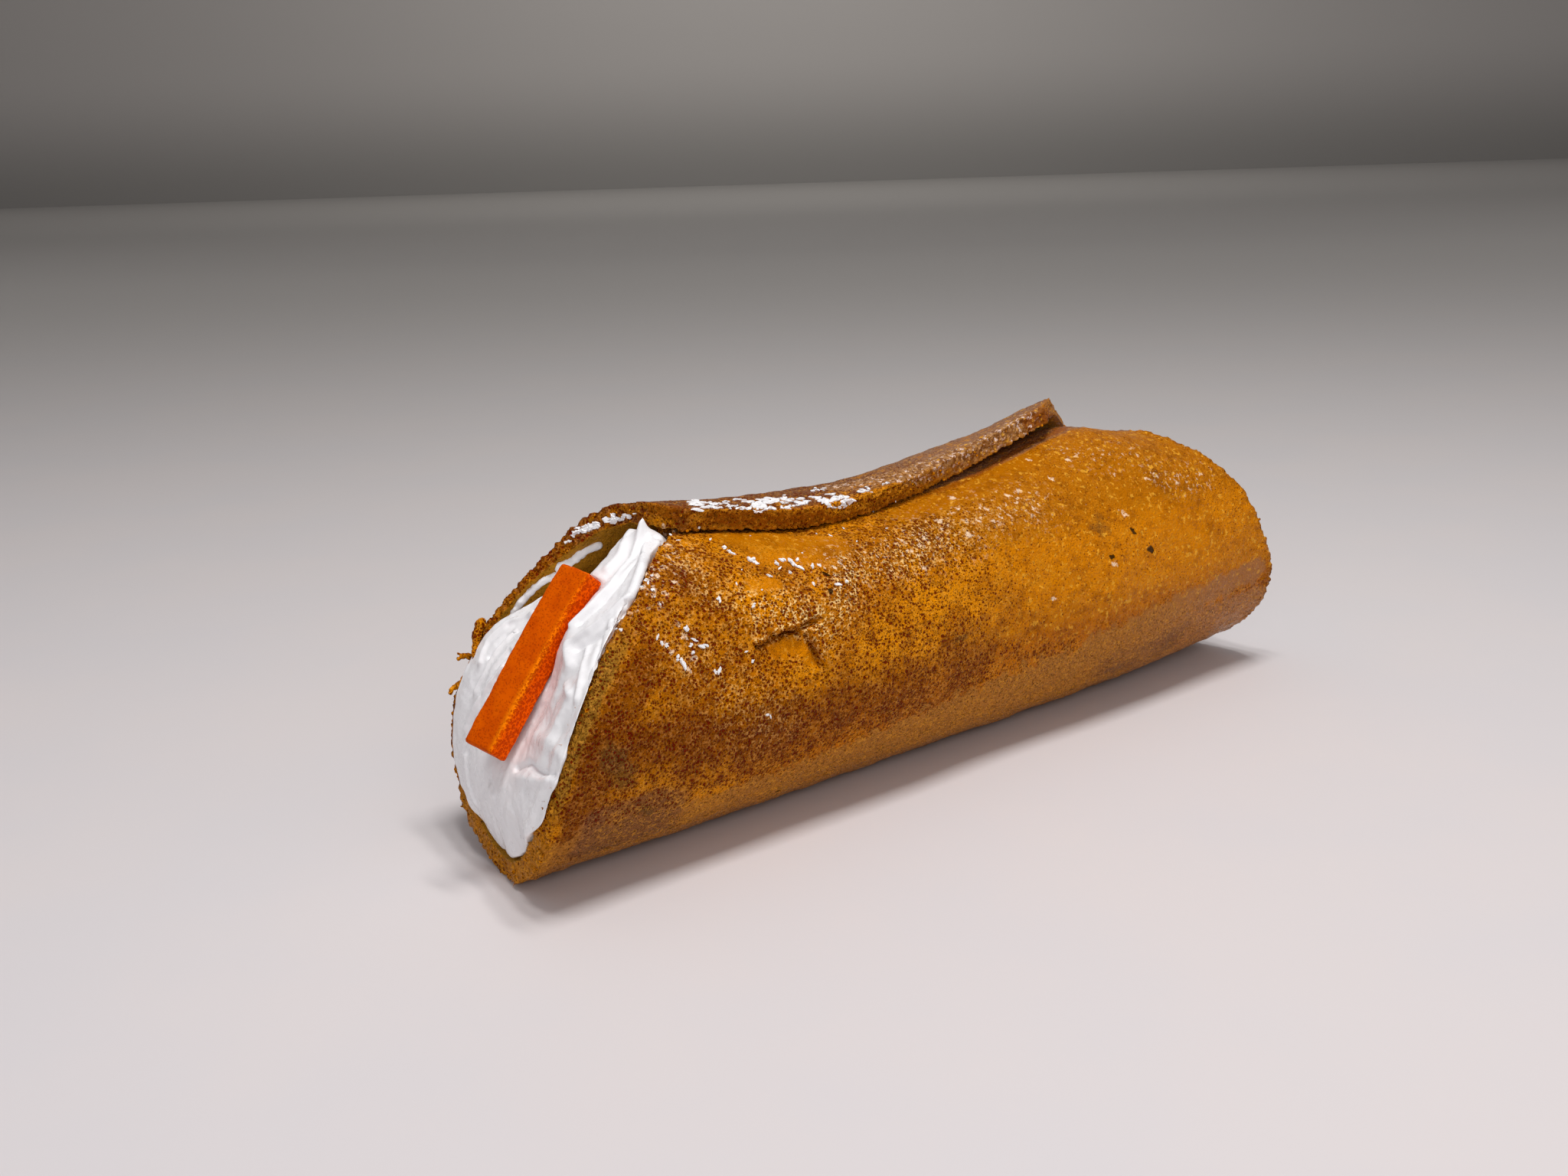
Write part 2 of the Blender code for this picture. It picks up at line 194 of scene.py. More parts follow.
def grain(tree, place, size, detail=3.0):
    """Noise whose blotches are about size millimetres across."""
    return node(tree, "ShaderNodeTexNoise", Vector=place, Scale=1.0 / (size * MM), Detail=detail,
                Roughness=0.55)


def painted(tree, name):
    """Read a value that was painted onto the mesh."""
    return node(tree, "ShaderNodeAttribute", {"attribute_name": name}, out=2)


print("colours and patterns ready")

# %% [markdown]
# ## The table's finish
# The real table is a matt, slightly pink white. It looks greyer with the distance, and lamps alone
# don't grey it enough, so painted shade darkens the colour by the distance along the view, once in
# the middle and once towards the wall. The foot of the wall is a little lighter than the table in
# front of it.

# %% The table's pale finish
NEAR_WHITE, NEAR_PINK = (0.71, 0.662, 0.668), (0.69, 0.655, 0.672)
MIDDLE_SHADED_GREY, FAR_SHADED_GREY = (0.545, 0.522, 0.490), (0.33, 0.315, 0.295)
WALL_GREY = (0.57, 0.54, 0.51)
table_finish, tree, shader = new_material("pale_table")
place = node(tree, "ShaderNodeTexCoord", out=3)
straight = node(tree, "ShaderNodeMapping", Vector=place,
                Rotation=(0.0, 0.0, math.radians(TABLE_TURN)))
away = node(tree, "ShaderNodeSeparateXYZ", out=1, Vector=straight)
mottle = grain(tree, place, 60.0)
tone = blend(tree, spread(tree, mottle, 0.35, 0.65), NEAR_WHITE, NEAR_PINK)
# Painted shade: the colour darkens along the view, in place of light that falls off.
tone = blend(tree, spread(tree, away, -0.3, 1.0), tone, MIDDLE_SHADED_GREY)
tone = blend(tree, spread(tree, away, 0.95, 1.9), tone, FAR_SHADED_GREY)
height = node(tree, "ShaderNodeSeparateXYZ", out=2, Vector=straight)
tone = blend(tree, spread(tree, height, 0.0, 0.25), tone, WALL_GREY)
tree.links.new(tone, shader.inputs["Base Color"])
shader.inputs["Roughness"].default_value = 0.6
table.data.materials.append(table_finish)
print("table finish made")


# %% [markdown]
# ## The light
# The shadow in the picture is short, lies in front of the roll and has several soft edges, as under
# a lamp with many small bulbs. Nine small disks in a grid above the roll, a little in front of its
# middle, give those edges, where one large lamp would blur them. Two wide lamps in front lift the
# dark side, one lights the wall, and grey air fills in the rest.

# %% Lamps
def soft_lamp(name, place, aim, size, power, tint):
    """A round area lamp that looks at a point; sizes in metres, power in watts."""
    turn = (Vector(aim) - Vector(place)).to_track_quat("-Z", "Y").to_euler()
    bpy.ops.object.light_add(type="AREA", location=place, rotation=turn)
    lamp = bpy.context.object
    lamp.name = name
    lamp.data.shape = "DISK"
    lamp.data.size = size
    lamp.data.energy = power
    lamp.data.color = tint


BULB_ROWS = 3
BULB_SIZE, BULB_POWER, BULB_TINT = 0.06, 0.275, (1.0, 0.985, 0.97)
BULB_PITCH = (0.11, 0.05)
MIDDLE_BULB = (-0.01, -0.10, 0.59)
ROLL_FOOT = (0.0, 0.0, 0.0)
ROLL_MIDDLE = (0.0, 0.0, 0.02)
for row in range(BULB_ROWS):
    for column in range(BULB_ROWS):
        place = (MIDDLE_BULB[0] + (column - 1) * BULB_PITCH[0],
                 MIDDLE_BULB[1] + (row - 1) * BULB_PITCH[1], MIDDLE_BULB[2])
        name = "bulb_%d_%d" % (row, column)
        soft_lamp(name, place, ROLL_FOOT, BULB_SIZE, BULB_POWER, BULB_TINT)
soft_lamp("fill", (-0.87, -0.75, 0.36), ROLL_MIDDLE, 0.6, 2.6, (0.98, 0.98, 1.0))
soft_lamp("front_fill", (-0.18, -0.66, 0.46), ROLL_MIDDLE, 0.3, 0.6, (1.0, 0.99, 0.98))
soft_lamp("wall_wash", (1.41, 1.68, 1.30), (2.0, 2.39, 0.6), 1.0, 7.0, (1.0, 0.98, 0.96))

# %% The air around
AIR_BELOW, AIR_ABOVE = (0.20, 0.19, 0.20), (1.0, 0.98, 1.0)
AIR_POWER = 0.38
air = bpy.data.worlds.new("air")
air.use_nodes = True
tree = air.node_tree
way = node(tree, "ShaderNodeTexCoord")
up = node(tree, "ShaderNodeSeparateXYZ", out=2, Vector=way)
connect(tree, blend(tree, spread(tree, up, -0.1, 0.9), AIR_BELOW, AIR_ABOVE),
        tree.nodes["Background"].inputs["Color"])
tree.nodes["Background"].inputs["Strength"].default_value = AIR_POWER
bpy.context.scene.world = air
bpy.context.scene.view_settings.view_transform = "Standard"
print("air made")


# %% [markdown]
# ## Helpers for pieces
# A piece starts as a merged copy of its solid, so that it has the same shape and place. It could be
# cut fine all over, but that would cost many faces, so it is made finer only where it shows. Values
# are painted onto its points for the finish to read, and noise roughens its skin.

# %% Picking and copying
MERGE_REACH = 0.002


def pick(piece):
    """Select one piece alone."""
    bpy.ops.object.select_all(action="DESELECT")
    piece.select_set(True)
    bpy.context.view_layer.objects.active = piece


def merged_copy(node_name, name):
    """A copy of a solid whose loose triangles are merged into one skin of quads."""
    piece = bpy.data.objects.new(name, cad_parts[node_name].data.copy())
    piece.data.name = name
    piece.data.materials.clear()
    bpy.context.scene.collection.objects.link(piece)
    pick(piece)
    bpy.ops.object.mode_set(mode="EDIT")
    bpy.ops.mesh.select_all(action="SELECT")
    bpy.ops.mesh.customdata_custom_splitnormals_clear()
    bpy.ops.mesh.remove_doubles(threshold=MERGE_REACH * MM)
    bpy.ops.mesh.tris_convert_to_quads(face_threshold=math.radians(60),
                                       shape_threshold=math.radians(120))
    bpy.ops.object.mode_set(mode="OBJECT")
    bpy.ops.object.shade_smooth()
    return piece


print("copying helpers ready")


# %% Modifiers and counts
def apply_all(piece):
    """Apply every modifier, from the top down."""
    pick(piece)
    for modifier in list(piece.modifiers):
        bpy.ops.object.modifier_apply(modifier=modifier.name)


def soften(piece):
    """Round a piece by one level of Subdivision Surface."""
    smooth = piece.modifiers.new("smooth", "SUBSURF")
    smooth.levels = smooth.render_levels = 1
    apply_all(piece)


def in_numbers(piece):
    """How many faces and triangles a piece has."""
    faces = piece.data.polygons
    return "%d faces, %d triangles" % (len(faces), sum(len(face.vertices) - 2 for face in faces))


print("modifier helpers ready")


# %% Points and painted values
def points(piece, kind="co"):
    """The places (or normals) of the points as an array, in millimetres (or as they are)."""
    values = np.empty(len(piece.data.vertices) * 3)
    piece.data.vertices.foreach_get(kind, values)
    values = values.reshape(-1, 3)
    return values / MM if kind == "co" else values


def put_points(piece, values):
    """Move the points to these places, in millimetres."""
    piece.data.vertices.foreach_set("co", (values * MM).ravel())
    piece.data.update()


def paint(piece, name, values):
    """Paint a value onto the points, for the material to read."""
    layer = piece.data.attributes.new(name, "FLOAT", "POINT")
    layer.data.foreach_set("value", np.asarray(values, np.float32))


def ease(value, start, end):
    """Rise softly from 0 at start to 1 at end."""
    share = np.clip((value - start) / (end - start), 0.0, 1.0)
    return share * share * (3.0 - 2.0 * share)


def window(value, start, full, last, end):
    """Rise softly, stay at 1 from full to last, and fall again."""
    return ease(value, start, full) * (1.0 - ease(value, last, end))


print("painting helpers ready")


# %% Finer faces and rough skins
def refine(piece, wanted, cuts=1):
    """Cut the faces finer that wanted(centres in mm, normals) asks for."""
    pick(piece)
    bpy.ops.object.mode_set(mode="EDIT")
    bpy.ops.mesh.select_mode(type="FACE")
    bpy.ops.mesh.select_all(action="DESELECT")
    bpy.ops.object.mode_set(mode="OBJECT")
    centres = np.empty(len(piece.data.polygons) * 3)
    normals = np.empty(len(piece.data.polygons) * 3)
    piece.data.polygons.foreach_get("center", centres)
    piece.data.polygons.foreach_get("normal", normals)
    mask = wanted(centres.reshape(-1, 3) / MM, normals.reshape(-1, 3))
    piece.data.polygons.foreach_set("select", mask)
    bpy.ops.object.mode_set(mode="EDIT")
    bpy.ops.mesh.subdivide(number_cuts=cuts)
    bpy.ops.object.mode_set(mode="OBJECT")


def rough_up(piece, name, size, depth, group=""):
    """Push the skin in and out by a noise of this size and depth in mm, and apply it."""
    texture = bpy.data.textures.new(name, "CLOUDS")
    texture.noise_scale = size * MM
    push = piece.modifiers.new(name, "DISPLACE")
    push.texture = texture
    push.texture_coords = "LOCAL"
    push.strength = depth * MM
    push.mid_level = 0.5
    push.vertex_group = group
    apply_all(piece)


print("skin helpers ready")


# %% [markdown]
# ## Drawing on a piece from the picture
# Folds, cracks, smears and flecks all have a place in the picture. They could be set by eye in
# space, but it is surer to note the point of the picture, in its own pixels, and to send a line of
# sight through it: where that line meets the piece is the spot. A stroke works like a sculpting
# brush that lifts or presses the skin along a row of such spots.

# %% From the picture to the piece
def picture_ray(across, down):
    """Where a point of the picture lies: the camera's place and the way that it looks there."""
    half = SENSOR / 2.0 / LENS
    right = (across / PICTURE[0] * 2.0 - 1.0) * half
    up = (1.0 - down / PICTURE[1] * 2.0) * half * PICTURE[1] / PICTURE[0]
    way = camera.matrix_world.to_3x3() @ Vector((right, up, -1.0))
    return camera.matrix_world.translation, way.normalized()


def drop(piece, across, down):
    """The place on a piece, and its normal, under a point of the picture."""
    start, way = picture_ray(across, down)
    hit, place, normal, face = piece.ray_cast(start, way)
    return (place, normal) if hit else (None, None)


def dropped_line(piece, line):
    """The places on a piece under a line of picture points, in millimetres."""
    spots = [drop(piece, *spot)[0] for spot in line]
    return np.array([list(spot / MM) for spot in spots if spot is not None])


print("picture helpers ready")


# %% Strokes
def distance_to_line(where, line):
    """Distance of many points to a line of straight stretches, in millimetres."""
    nearest = np.full(len(where), 1e9)
    for start, end in zip(line[:-1], line[1:]):
        way = end - start
        share = np.clip((where - start) @ way / max(way @ way, 1e-9), 0.0, 1.0)
        nearest = np.minimum(nearest, np.linalg.norm(where - start - share[:, None] * way, axis=1))
    return nearest


def stroke(piece, line, width, height):
    """Lift the skin along a line of picture points, as a sculpting brush does."""
    bpy.context.view_layer.update()
    spots = dropped_line(piece, line)
    where = points(piece)
    near = distance_to_line(where, spots)
    lift = height * np.exp(-(near / width) ** 2.0)
    put_points(piece, where + points(piece, "normal") * lift[:, None])


print("strokes ready")

# %% [markdown]
# ## The crust
# On the real roll this is the painted skin of a foam sheet, full of fine burst cells, with lumps, a
# crater and ragged cut edges. The solid already has the roll and the lap. The copy is smoothed by
# one Subdivision Surface level with creased cut edges, then only the outside is cut finer, because
# the inside is hidden by the cream.

# %% The crust's shape
CUT_ANGLE = 45.0
crust = merged_copy("shell", "crust")
bpy.ops.object.mode_set(mode="EDIT")
bpy.ops.mesh.select_mode(type="EDGE")
bpy.ops.mesh.select_all(action="DESELECT")
bpy.ops.mesh.edges_select_sharp(sharpness=math.radians(CUT_ANGLE))
bpy.ops.transform.edge_crease(value=1.0)
bpy.ops.object.vertex_group_assign_new()
bpy.ops.object.mode_set(mode="OBJECT")
crust.vertex_groups[0].name = "rim"
soften(crust)
print("crust:", in_numbers(crust))

# %% The side that shows
AXIS_HEIGHT = 22.3
SEEN_INSIDE = (-32.0, 22.0)


def from_axis(where):
    """The way from the roll's axis out to each place."""
    radial = where - [0.0, 0.0, AXIS_HEIGHT]
    radial[:, 0] = 0.0
    return radial / np.linalg.norm(radial, axis=1)[:, None]


def faces_out(centres, normals):
    """Faces of the outside and the cut edges, and the inside where the near mouth shows it."""
    outside = (from_axis(centres) * normals).sum(1) > -0.5
    return outside | ((centres[:, 0] < SEEN_INSIDE[0]) & (centres[:, 2] > SEEN_INSIDE[1]))


refine(crust, faces_out)
print("crust:", in_numbers(crust))


# %% [markdown]
# ## Cut edges and the broken front
# The cut edges are torn foam and the front is close to the camera, so both need the finest faces.
# Then four noises roughen the skin, from soft lumps down to pimples. The last and deepest of them
# follows the group of rim points alone. The crater is where the skin broke in: a low bowl, with
# cracks pressed in and lips lifted along them as strokes.

# %% Finer cut edges and front
CRATER = (1035, 840)
CRATER_REACH = 9.0
TO_CAMERA = (-0.55, -0.80, 0.25)
FRONT_END = 34.0
FRONT_FOOT = 5.0


def rim_weights(piece):
    """How far each point belongs to the cut edges."""
    values = np.zeros(len(piece.data.vertices))
    for vertex in piece.data.vertices:
        for entry in vertex.groups:
            values[vertex.index] = entry.weight
    return values


def faces_front(centres, normals):
    """Faces that the picture shows large: the front from the tan strip up to the flap."""
    towards = (normals * TO_CAMERA).sum(1) > 0.30
    return towards & (centres[:, 0] < FRONT_END) & (centres[:, 2] > FRONT_FOOT)


rim = rim_weights(crust)
edge_share = np.array([rim[list(face.vertices)].min() for face in crust.data.polygons])
refine(crust, lambda centres, normals: edge_share > 0.70)
refine(crust, faces_front)
crater = np.array(drop(crust, *CRATER)[0]) / MM
refine(crust, lambda centres, normals: np.linalg.norm(centres - crater, axis=1) < CRATER_REACH)
print("crust:", in_numbers(crust))

# %% Lumps, torn edges and the crater
rough_up(crust, "lumps", 7.0, 0.45)
rough_up(crust, "crags", 2.0, 0.42)
rough_up(crust, "pimples", 0.9, 0.28)
rough_up(crust, "torn", 0.9, 0.75, "rim")
CRATER_STROKES = (
    (((1012, 852), (1030, 845), (1050, 852), (1062, 868)), 2.4, -0.55),
    (((991, 844), (1009, 835), (1013, 830), (1024, 825), (1041, 824)), 0.40, -1.50),
    (((990, 838), (1007, 829), (1013, 824), (1026, 818), (1043, 817)), 0.50, 0.65),
    (((1048, 821), (1058, 815), (1068, 809)), 0.40, -1.20),
    (((1055, 829), (1059, 840), (1065, 851), (1072, 865)), 0.55, -1.10),
    (((1062, 828), (1067, 839), (1073, 850), (1080, 863)), 0.55, 0.60),
)
for line, width, height in CRATER_STROKES:
    stroke(crust, line, width, height)
print("crater strokes:", len(CRATER_STROKES))


# %% [markdown]
# ## Where the paint lies
# The paint on the roll is patchy: a dark toasted band by the near mouth, a smooth tan strip along
# the bottom, mauve patches, and a brighter gold far away. Each is painted onto the mesh as a soft
# value by its place along and round the roll, or as daubs along lines of picture points. Flat
# pictures wrapped round the roll would stretch; values on the points don't. The material breaks
# the borders up with noise.

# %% Places along and round the roll
FOOT_START = -75.9
MOUTH_SLANT, MOUTH_CURVE, MOUTH_SKEW = 27.9, 3.1, 3.1
where = points(crust)
along = where[:, 0] - FOOT_START
turn = np.degrees(np.arctan2(where[:, 1], AXIS_HEIGHT - where[:, 2]))
low = np.abs(turn)
raised = (1.0 - np.cos(np.radians(turn))) / 2.0
sideways = np.sin(np.radians(turn))
from_near = along - MOUTH_SLANT * raised ** MOUTH_CURVE - MOUTH_SKEW * sideways
outward = (from_axis(where) * points(crust, "normal")).sum(1)
print("along the roll from", along.min().round(1), "to", along.max().round(1), "mm")


# %% The cut edges, the inside and the lip
def daub(lines):
    """A soft value round lines of picture points: ((points), reach in mm, share)."""
    bpy.context.view_layer.update()
    value = np.zeros(len(where))
    for line, reach, share in lines:
        near = distance_to_line(where, dropped_line(crust, line))
        value = np.maximum(value, share * np.exp(-(near / reach) ** 2))
    return value


rim = rim_weights(crust)
front = 1.0 - ease(turn, -8.0, 8.0)
paint(crust, "cut", ease(rim, 0.86, 0.97))
paint(crust, "inside", ease(-outward, 0.3, 0.7))
lip = (1.0 - ease(from_near, 0.7, 1.4)) * window(low, 60.0, 80.0, 120.0, 135.0)
paint(crust, "lip", lip * front)
print("points of the cut edges:", int((rim > 0.9).sum()))

# %% [markdown]
# ## Toast, glaze and gold
# The coats follow the roll: toast in a band round the near mouth, painted shade low down the front,
# added into the toast, glaze in a strip at the foot, gold at the far end. So most of them are
# windows, soft steps up and down, along and round the roll. What has no such order, like the
# browned patches and the painted shade in the crater's cracks, is daubed on.

# %% The toasted parts, with painted shade on the lower front
band = window(from_near, 1.4, 2.2, 4.5, 10.5) * window(low, 12.0, 35.0, 108.0, 128.0)
# Painted shade: a darker window low on the front, added into the toast value.
shade = window(low, 52.0, 66.0, 84.0, 100.0) * window(along, -5.0, 12.0, 60.0, 95.0)
near_third = 0.50 * (1.0 - ease(along, 14.0, 42.0)) * window(low, 68.0, 90.0, 150.0, 168.0)
browned_and_crack_shade = daub((
    (((820, 960), (900, 975), (1000, 960), (1100, 930)), 3.5, 0.22),
    (((1243, 830), (1340, 815), (1440, 790)), 3.0, 0.28), (((880, 745), (905, 770)), 2.5, 0.45),
    (((1336, 548), (1360, 545), (1384, 556)), 1.6, 0.9),
    # Painted shade: this line and the crater flank line below darken the pressed-in cracks.
    (((991, 846), (1009, 837), (1013, 832), (1024, 827), (1041, 826)), 0.40, 0.9),
    (((632, 800), (690, 728), (760, 680), (830, 654), (900, 648)), 1.1, 0.9),
    (((850, 655), (885, 665), (893, 688)), 1.6, 0.9), (((1500, 615), (1535, 655)), 2.0, 0.45),
    (((1425, 690), (1445, 700)), 2.2, 0.35), (((1560, 650), (1590, 700)), 2.4, 0.40),
    (((1055, 831), (1059, 842), (1065, 853), (1072, 867)), 0.45, 0.8),
))
rear_rim = 1.0 - ease(from_near, 1.0, 4.0)
rear_rim = 0.85 * rear_rim * ease(turn, 40.0, 75.0) * ease(outward, -0.6, 0.2)
toasted_and_shaded = np.maximum(np.maximum(band, browned_and_crack_shade), rear_rim) + 0.45 * shade + near_third
paint(crust, "toast_and_shade", np.clip(toasted_and_shaded, 0.0, 1.0))
print("toasted share:", round(float(toasted_and_shaded.mean()), 2))

# %% Glaze, mauve and olive
glaze_top = 58.0 + 14.0 * ease(along, 30.0, 100.0)
glaze = ease(low, 4.0, 14.0) - ease(low, glaze_top - 16.0, glaze_top + 8.0)
far_glaze = daub(((((1420, 850), (1520, 805), (1600, 765), (1640, 745)), 3.2, 1.0),))
paint(crust, "glaze", np.maximum(glaze, far_glaze))
near_mauve = window(along, 0.0, 5.0, 14.0, 26.0) * window(low, 30.0, 42.0, 58.0, 72.0)
far_mauve = 0.6 * window(along, 96.0, 112.0, 126.0, 142.0) * window(low, 30.0, 44.0, 56.0, 70.0)
paint(crust, "mauve", np.clip(near_mauve + far_mauve, 0.0, 1.0))
paint(crust, "olive", daub((
    (((795, 985), (815, 1015)), 2.6, 0.9), (((840, 1055), (850, 1062)), 1.2, 0.7),
    (((1432, 682), (1442, 692)), 2.5, 0.6), (((1250, 835), (1262, 832)), 1.2, 0.7),
)))
print("glazed share:", round(float(glaze.mean()), 2))

# %% Gold, bare skin, and painted shade on the crown and belly
skin = daub((
    (((950, 702), (1020, 706), (1090, 712)), 3.2, 0.85), (((985, 725), (1080, 728)), 3.0, 0.62),
    (((1180, 672), (1260, 645), (1340, 600)), 2.2, 1.0),
    (((1012, 850), (1030, 843), (1048, 848), (1058, 862)), 1.5, 0.75),
    (((985, 765), (1010, 762)), 1.6, 0.7), (((1480, 640), (1560, 690)), 6.0, 0.9),
))
paint(crust, "skin", skin)
paint(crust, "gold", np.maximum(ease(along, 55.0, 105.0) * ease(low, 60.0, 90.0), skin))
# Painted shade: the top of the roll and the crust under the flap are dimmed.
under_flap_shade = daub((
    (((960, 705), (1090, 712)), 4.0, 0.7), (((1180, 672), (1340, 600)), 3.0, 0.5),
)) * (along < 75.0)
paint(crust, "crown_shade", ease(low, 112.0, 140.0) * ease(along, 50.0, 80.0) + under_flap_shade)
# Painted shade: the lower side of the roll is dimmed.
paint(crust, "belly_shade", window(low, 34.0, 50.0, 70.0, 98.0) * ease(along, 12.0, 45.0))
print("bare skin share:", round(float(skin.mean()), 3))

# %% [markdown]
# ## Shine, the flap and small marks
# Painted highlights, wet places, the cut face of the flap with its painted shade, and a few dark
# pits lie where the picture shows them. Noise would put them anywhere, so they are daubed too. The
# edge of the lap slants along the top of the roll, so the lap is a soft step across that slanting
# edge.

# %% Painted highlights: shine, glints and wet places
SHINY = (
    (1250, 664), (1261, 680), (1277, 680), (1287, 664), (1305, 675), (1315, 647), (1225, 680),
    (1207, 702), (1200, 712), (1225, 702), (1265, 697), (1207, 742), (1232, 730), (1175, 705),
    (1372, 625), (1395, 600), (1430, 600), (1475, 587), (1405, 585), (1452, 620), (1510, 620),
    (1535, 630), (1567, 620), (1500, 625), (1375, 782), (1455, 737), (1295, 680), (1467, 670),
    (842, 748), (850, 741), (846, 757), (838, 766), (851, 770), (858, 752), (866, 741), (873, 726),
    (868, 775), (861, 787), (880, 760), (885, 815), (893, 832), (876, 850), (869, 842), (905, 860),
    (898, 875), (868, 700), (872, 712), (880, 690), (866, 688), (1342, 600), (1330, 640),
    (1350, 664), (1243, 650),
)
# Painted highlights: pale spots where light glints on wet lumps.
paint(crust, "shine", daub([(((x, y), (x + 2, y + 1)), 0.55, 1.0) for x, y in SHINY]))
# Painted highlights: where the cell walls glint brightest.
paint(crust, "glints", daub((
    (((985, 790), (1030, 795), (1070, 815)), 4.2, 1.0),
    (((1085, 720), (1110, 745), (1100, 790)), 3.4, 1.0),
    (((1110, 745), (1180, 730), (1250, 700)), 3.2, 0.8),
    (((890, 720), (905, 745), (930, 775)), 3.2, 0.6),
    (((900, 850), (960, 900), (1000, 930)), 5.5, 0.35),
    (((990, 837), (1007, 828), (1013, 823), (1026, 817), (1043, 816)), 0.6, 1.0),
    (((1062, 828), (1067, 839), (1073, 850), (1080, 863)), 0.6, 0.9),
    (((1190, 700), (1270, 680), (1350, 660)), 3.0, 0.6),
)))
# Wet places: lower roughness, and painted sparkles of light.
paint(crust, "wet", daub((
    (((1200, 705), (1265, 680), (1305, 660), (1350, 655)), 4.0, 1.0),
    (((1090, 740), (1170, 722), (1260, 690)), 4.0, 1.0),
    (((1390, 590), (1430, 598), (1480, 590)), 3.0, 0.7),
    (((1510, 615), (1535, 630), (1570, 620)), 3.0, 0.8),
    (((825, 790), (850, 760), (875, 730)), 3.0, 0.8),
)))
print("shiny spots:", len(SHINY))

# %% The flap with its painted shade, the lap and the pits
flap = np.maximum(ease(rim, 0.1, 0.5), ease(low, 150.0, 160.0))
# The flap's cut face: dark brown, with painted shade along its lower edge under the flap.
paint(crust, "shaded_flap_face", flap * daub((
    (((852, 662), (872, 668), (960, 678), (1075, 676)), 1.2, 1.0),
    (((1075, 682), (1180, 652), (1250, 632), (1330, 588), (1385, 562)), 0.8, 1.0),
    (((1344, 552), (1366, 545), (1386, 558)), 1.6, 1.0),
)))
mottled_line = ((1090, 636), (1180, 622), (1290, 578), (1345, 550))
paint(crust, "mottled", flap * daub(((mottled_line, 2.2, 1.0),)))
lap_edge = 13.0 - 6.0 * (1 - ease(along, 0.0, 45.0)) - 15.0 * ease(along, 62.0, 150.0)
lap_edge = 180.0 - lap_edge
front_lap = ease(low, lap_edge - 1.0, lap_edge + 1.0)
on_lap = np.where(turn < 0.0, front_lap, ease(turn, 140.0, 158.0))
paint(crust, "lap", on_lap * ease(outward, -0.25, 0.45))
paint(crust, "pits", daub((
    (((1480, 692), (1481, 694)), 0.55, 1.0), (((1501, 717), (1504, 719)), 0.8, 1.0),
    (((1452, 727), (1453, 728)), 0.6, 0.9), (((1084, 771), (1086, 773)), 0.5, 0.9),
    (((1075, 748), (1083, 752)), 0.45, 0.8),
)))
print("lap share:", round(float(on_lap.mean()), 2))


# %% [markdown]
# ## The pores of the foam
# Foam rubber shows its cells as dark pits of about a third of a millimetre. Modelled one by one
# they would take millions of faces. Two Voronoi textures make them instead, one fine and one
# coarse, and each cell's own chance and a painted share decide how far it is open. The same pits
# drive the bump, so that each has a lit lip.

# %% Pore helpers
def bent_place(tree, size, reach):
    """Object coordinates, pushed about by a noise, so that round shapes come out uneven."""
    place = node(tree, "ShaderNodeTexCoord", out=3)
    wobble = node(tree, "ShaderNodeTexNoise", out=1, Vector=place, Scale=1.0 / (size * MM),
                  Detail=2.0)
    bent = tree.nodes.new("ShaderNodeVectorMath")
    bent.operation = "MULTIPLY_ADD"
    connect(tree, wobble, bent.inputs[0])
    bent.inputs[1].default_value = [reach * MM] * 3
    connect(tree, place, bent.inputs[2])
    return bent.outputs[0]


def cells(tree, vector, size):
    """Foam cells size mm apart: the way to the nearest cell's middle, and each cell's chance."""
    cell = node(tree, "ShaderNodeTexVoronoi", Vector=vector, Scale=1.0 / (size * MM)).node
    return cell.outputs[0], node(tree, "ShaderNodeSeparateColor", Color=cell.outputs[1])


def pores(tree, foam, low, high, share):
    """How far a point lies inside a burst cell; the holes are low to high of a cell wide."""
    away, chance = foam
    reach = times(tree, slope(tree, chance, high - low, low), share)
    return minus(tree, reach, away)


print("pore helpers ready")

# %% [markdown]
# ## The colours of the crust
# The real paint is several thin coats over each other: orange and brown, gold at the far end, dark
# toast by the mouth, tan glaze below. The finish lays them in that order, each over the last where
# its painted value is high. One picture of paint would be quicker, but it would blur close up.

# %% Borders of the painted parts
crust_finish, tree, shader = new_material("foam_crust_finish")
place = node(tree, "ShaderNodeTexCoord", out=3)
patches = grain(tree, place, 8.0, 4.0)
small_patches = grain(tree, place, 2.2, 4.0)
speck = grain(tree, place, 0.8)


def border(name, noise, reach, low, high):
    """A painted value whose border is broken up by a noise."""
    value = slope(tree, noise, reach, -0.5 * reach)
    return spread(tree, calc(tree, "ADD", painted(tree, name), value), low, high)


toast_and_shade = border("toast_and_shade", small_patches, 0.7, 0.0, 1.0)
glaze = border("glaze", small_patches, 1.5, 0.35, 0.65)
gold = border("gold", patches, 0.8, 0.1, 0.9)
mauve = border("mauve", patches, 1.2, 0.3, 0.8)
olive = border("olive", small_patches, 1.0, 0.3, 0.8)
mottled = border("mottled", small_patches, 0.8, 0.2, 0.8)
shaded_flap_face = border("shaded_flap_face", small_patches, 0.5, 0.2, 0.7)
lap = times(tree, painted(tree, "lap"), spread(tree, small_patches, 0.25, 0.5))
glints = painted(tree, "glints")
wet = painted(tree, "wet")
print("crust borders:", len(tree.nodes), "nodes")


# %% The coats of paint
def daubed(colour, share, strength, tint):
    """Lay a tint over the colour where share is high."""
    return blend(tree, times(tree, share, strength), colour, tint)


def with_painted_shade(colour, name, reach, tint):
    """Paint shade: dim the colour by a tint where a value is painted."""
    darker = blend(tree, 1.0, colour, tint, "MULTIPLY")
    return blend(tree, border(name, small_patches, reach, 0.0, 1.0), colour, darker)


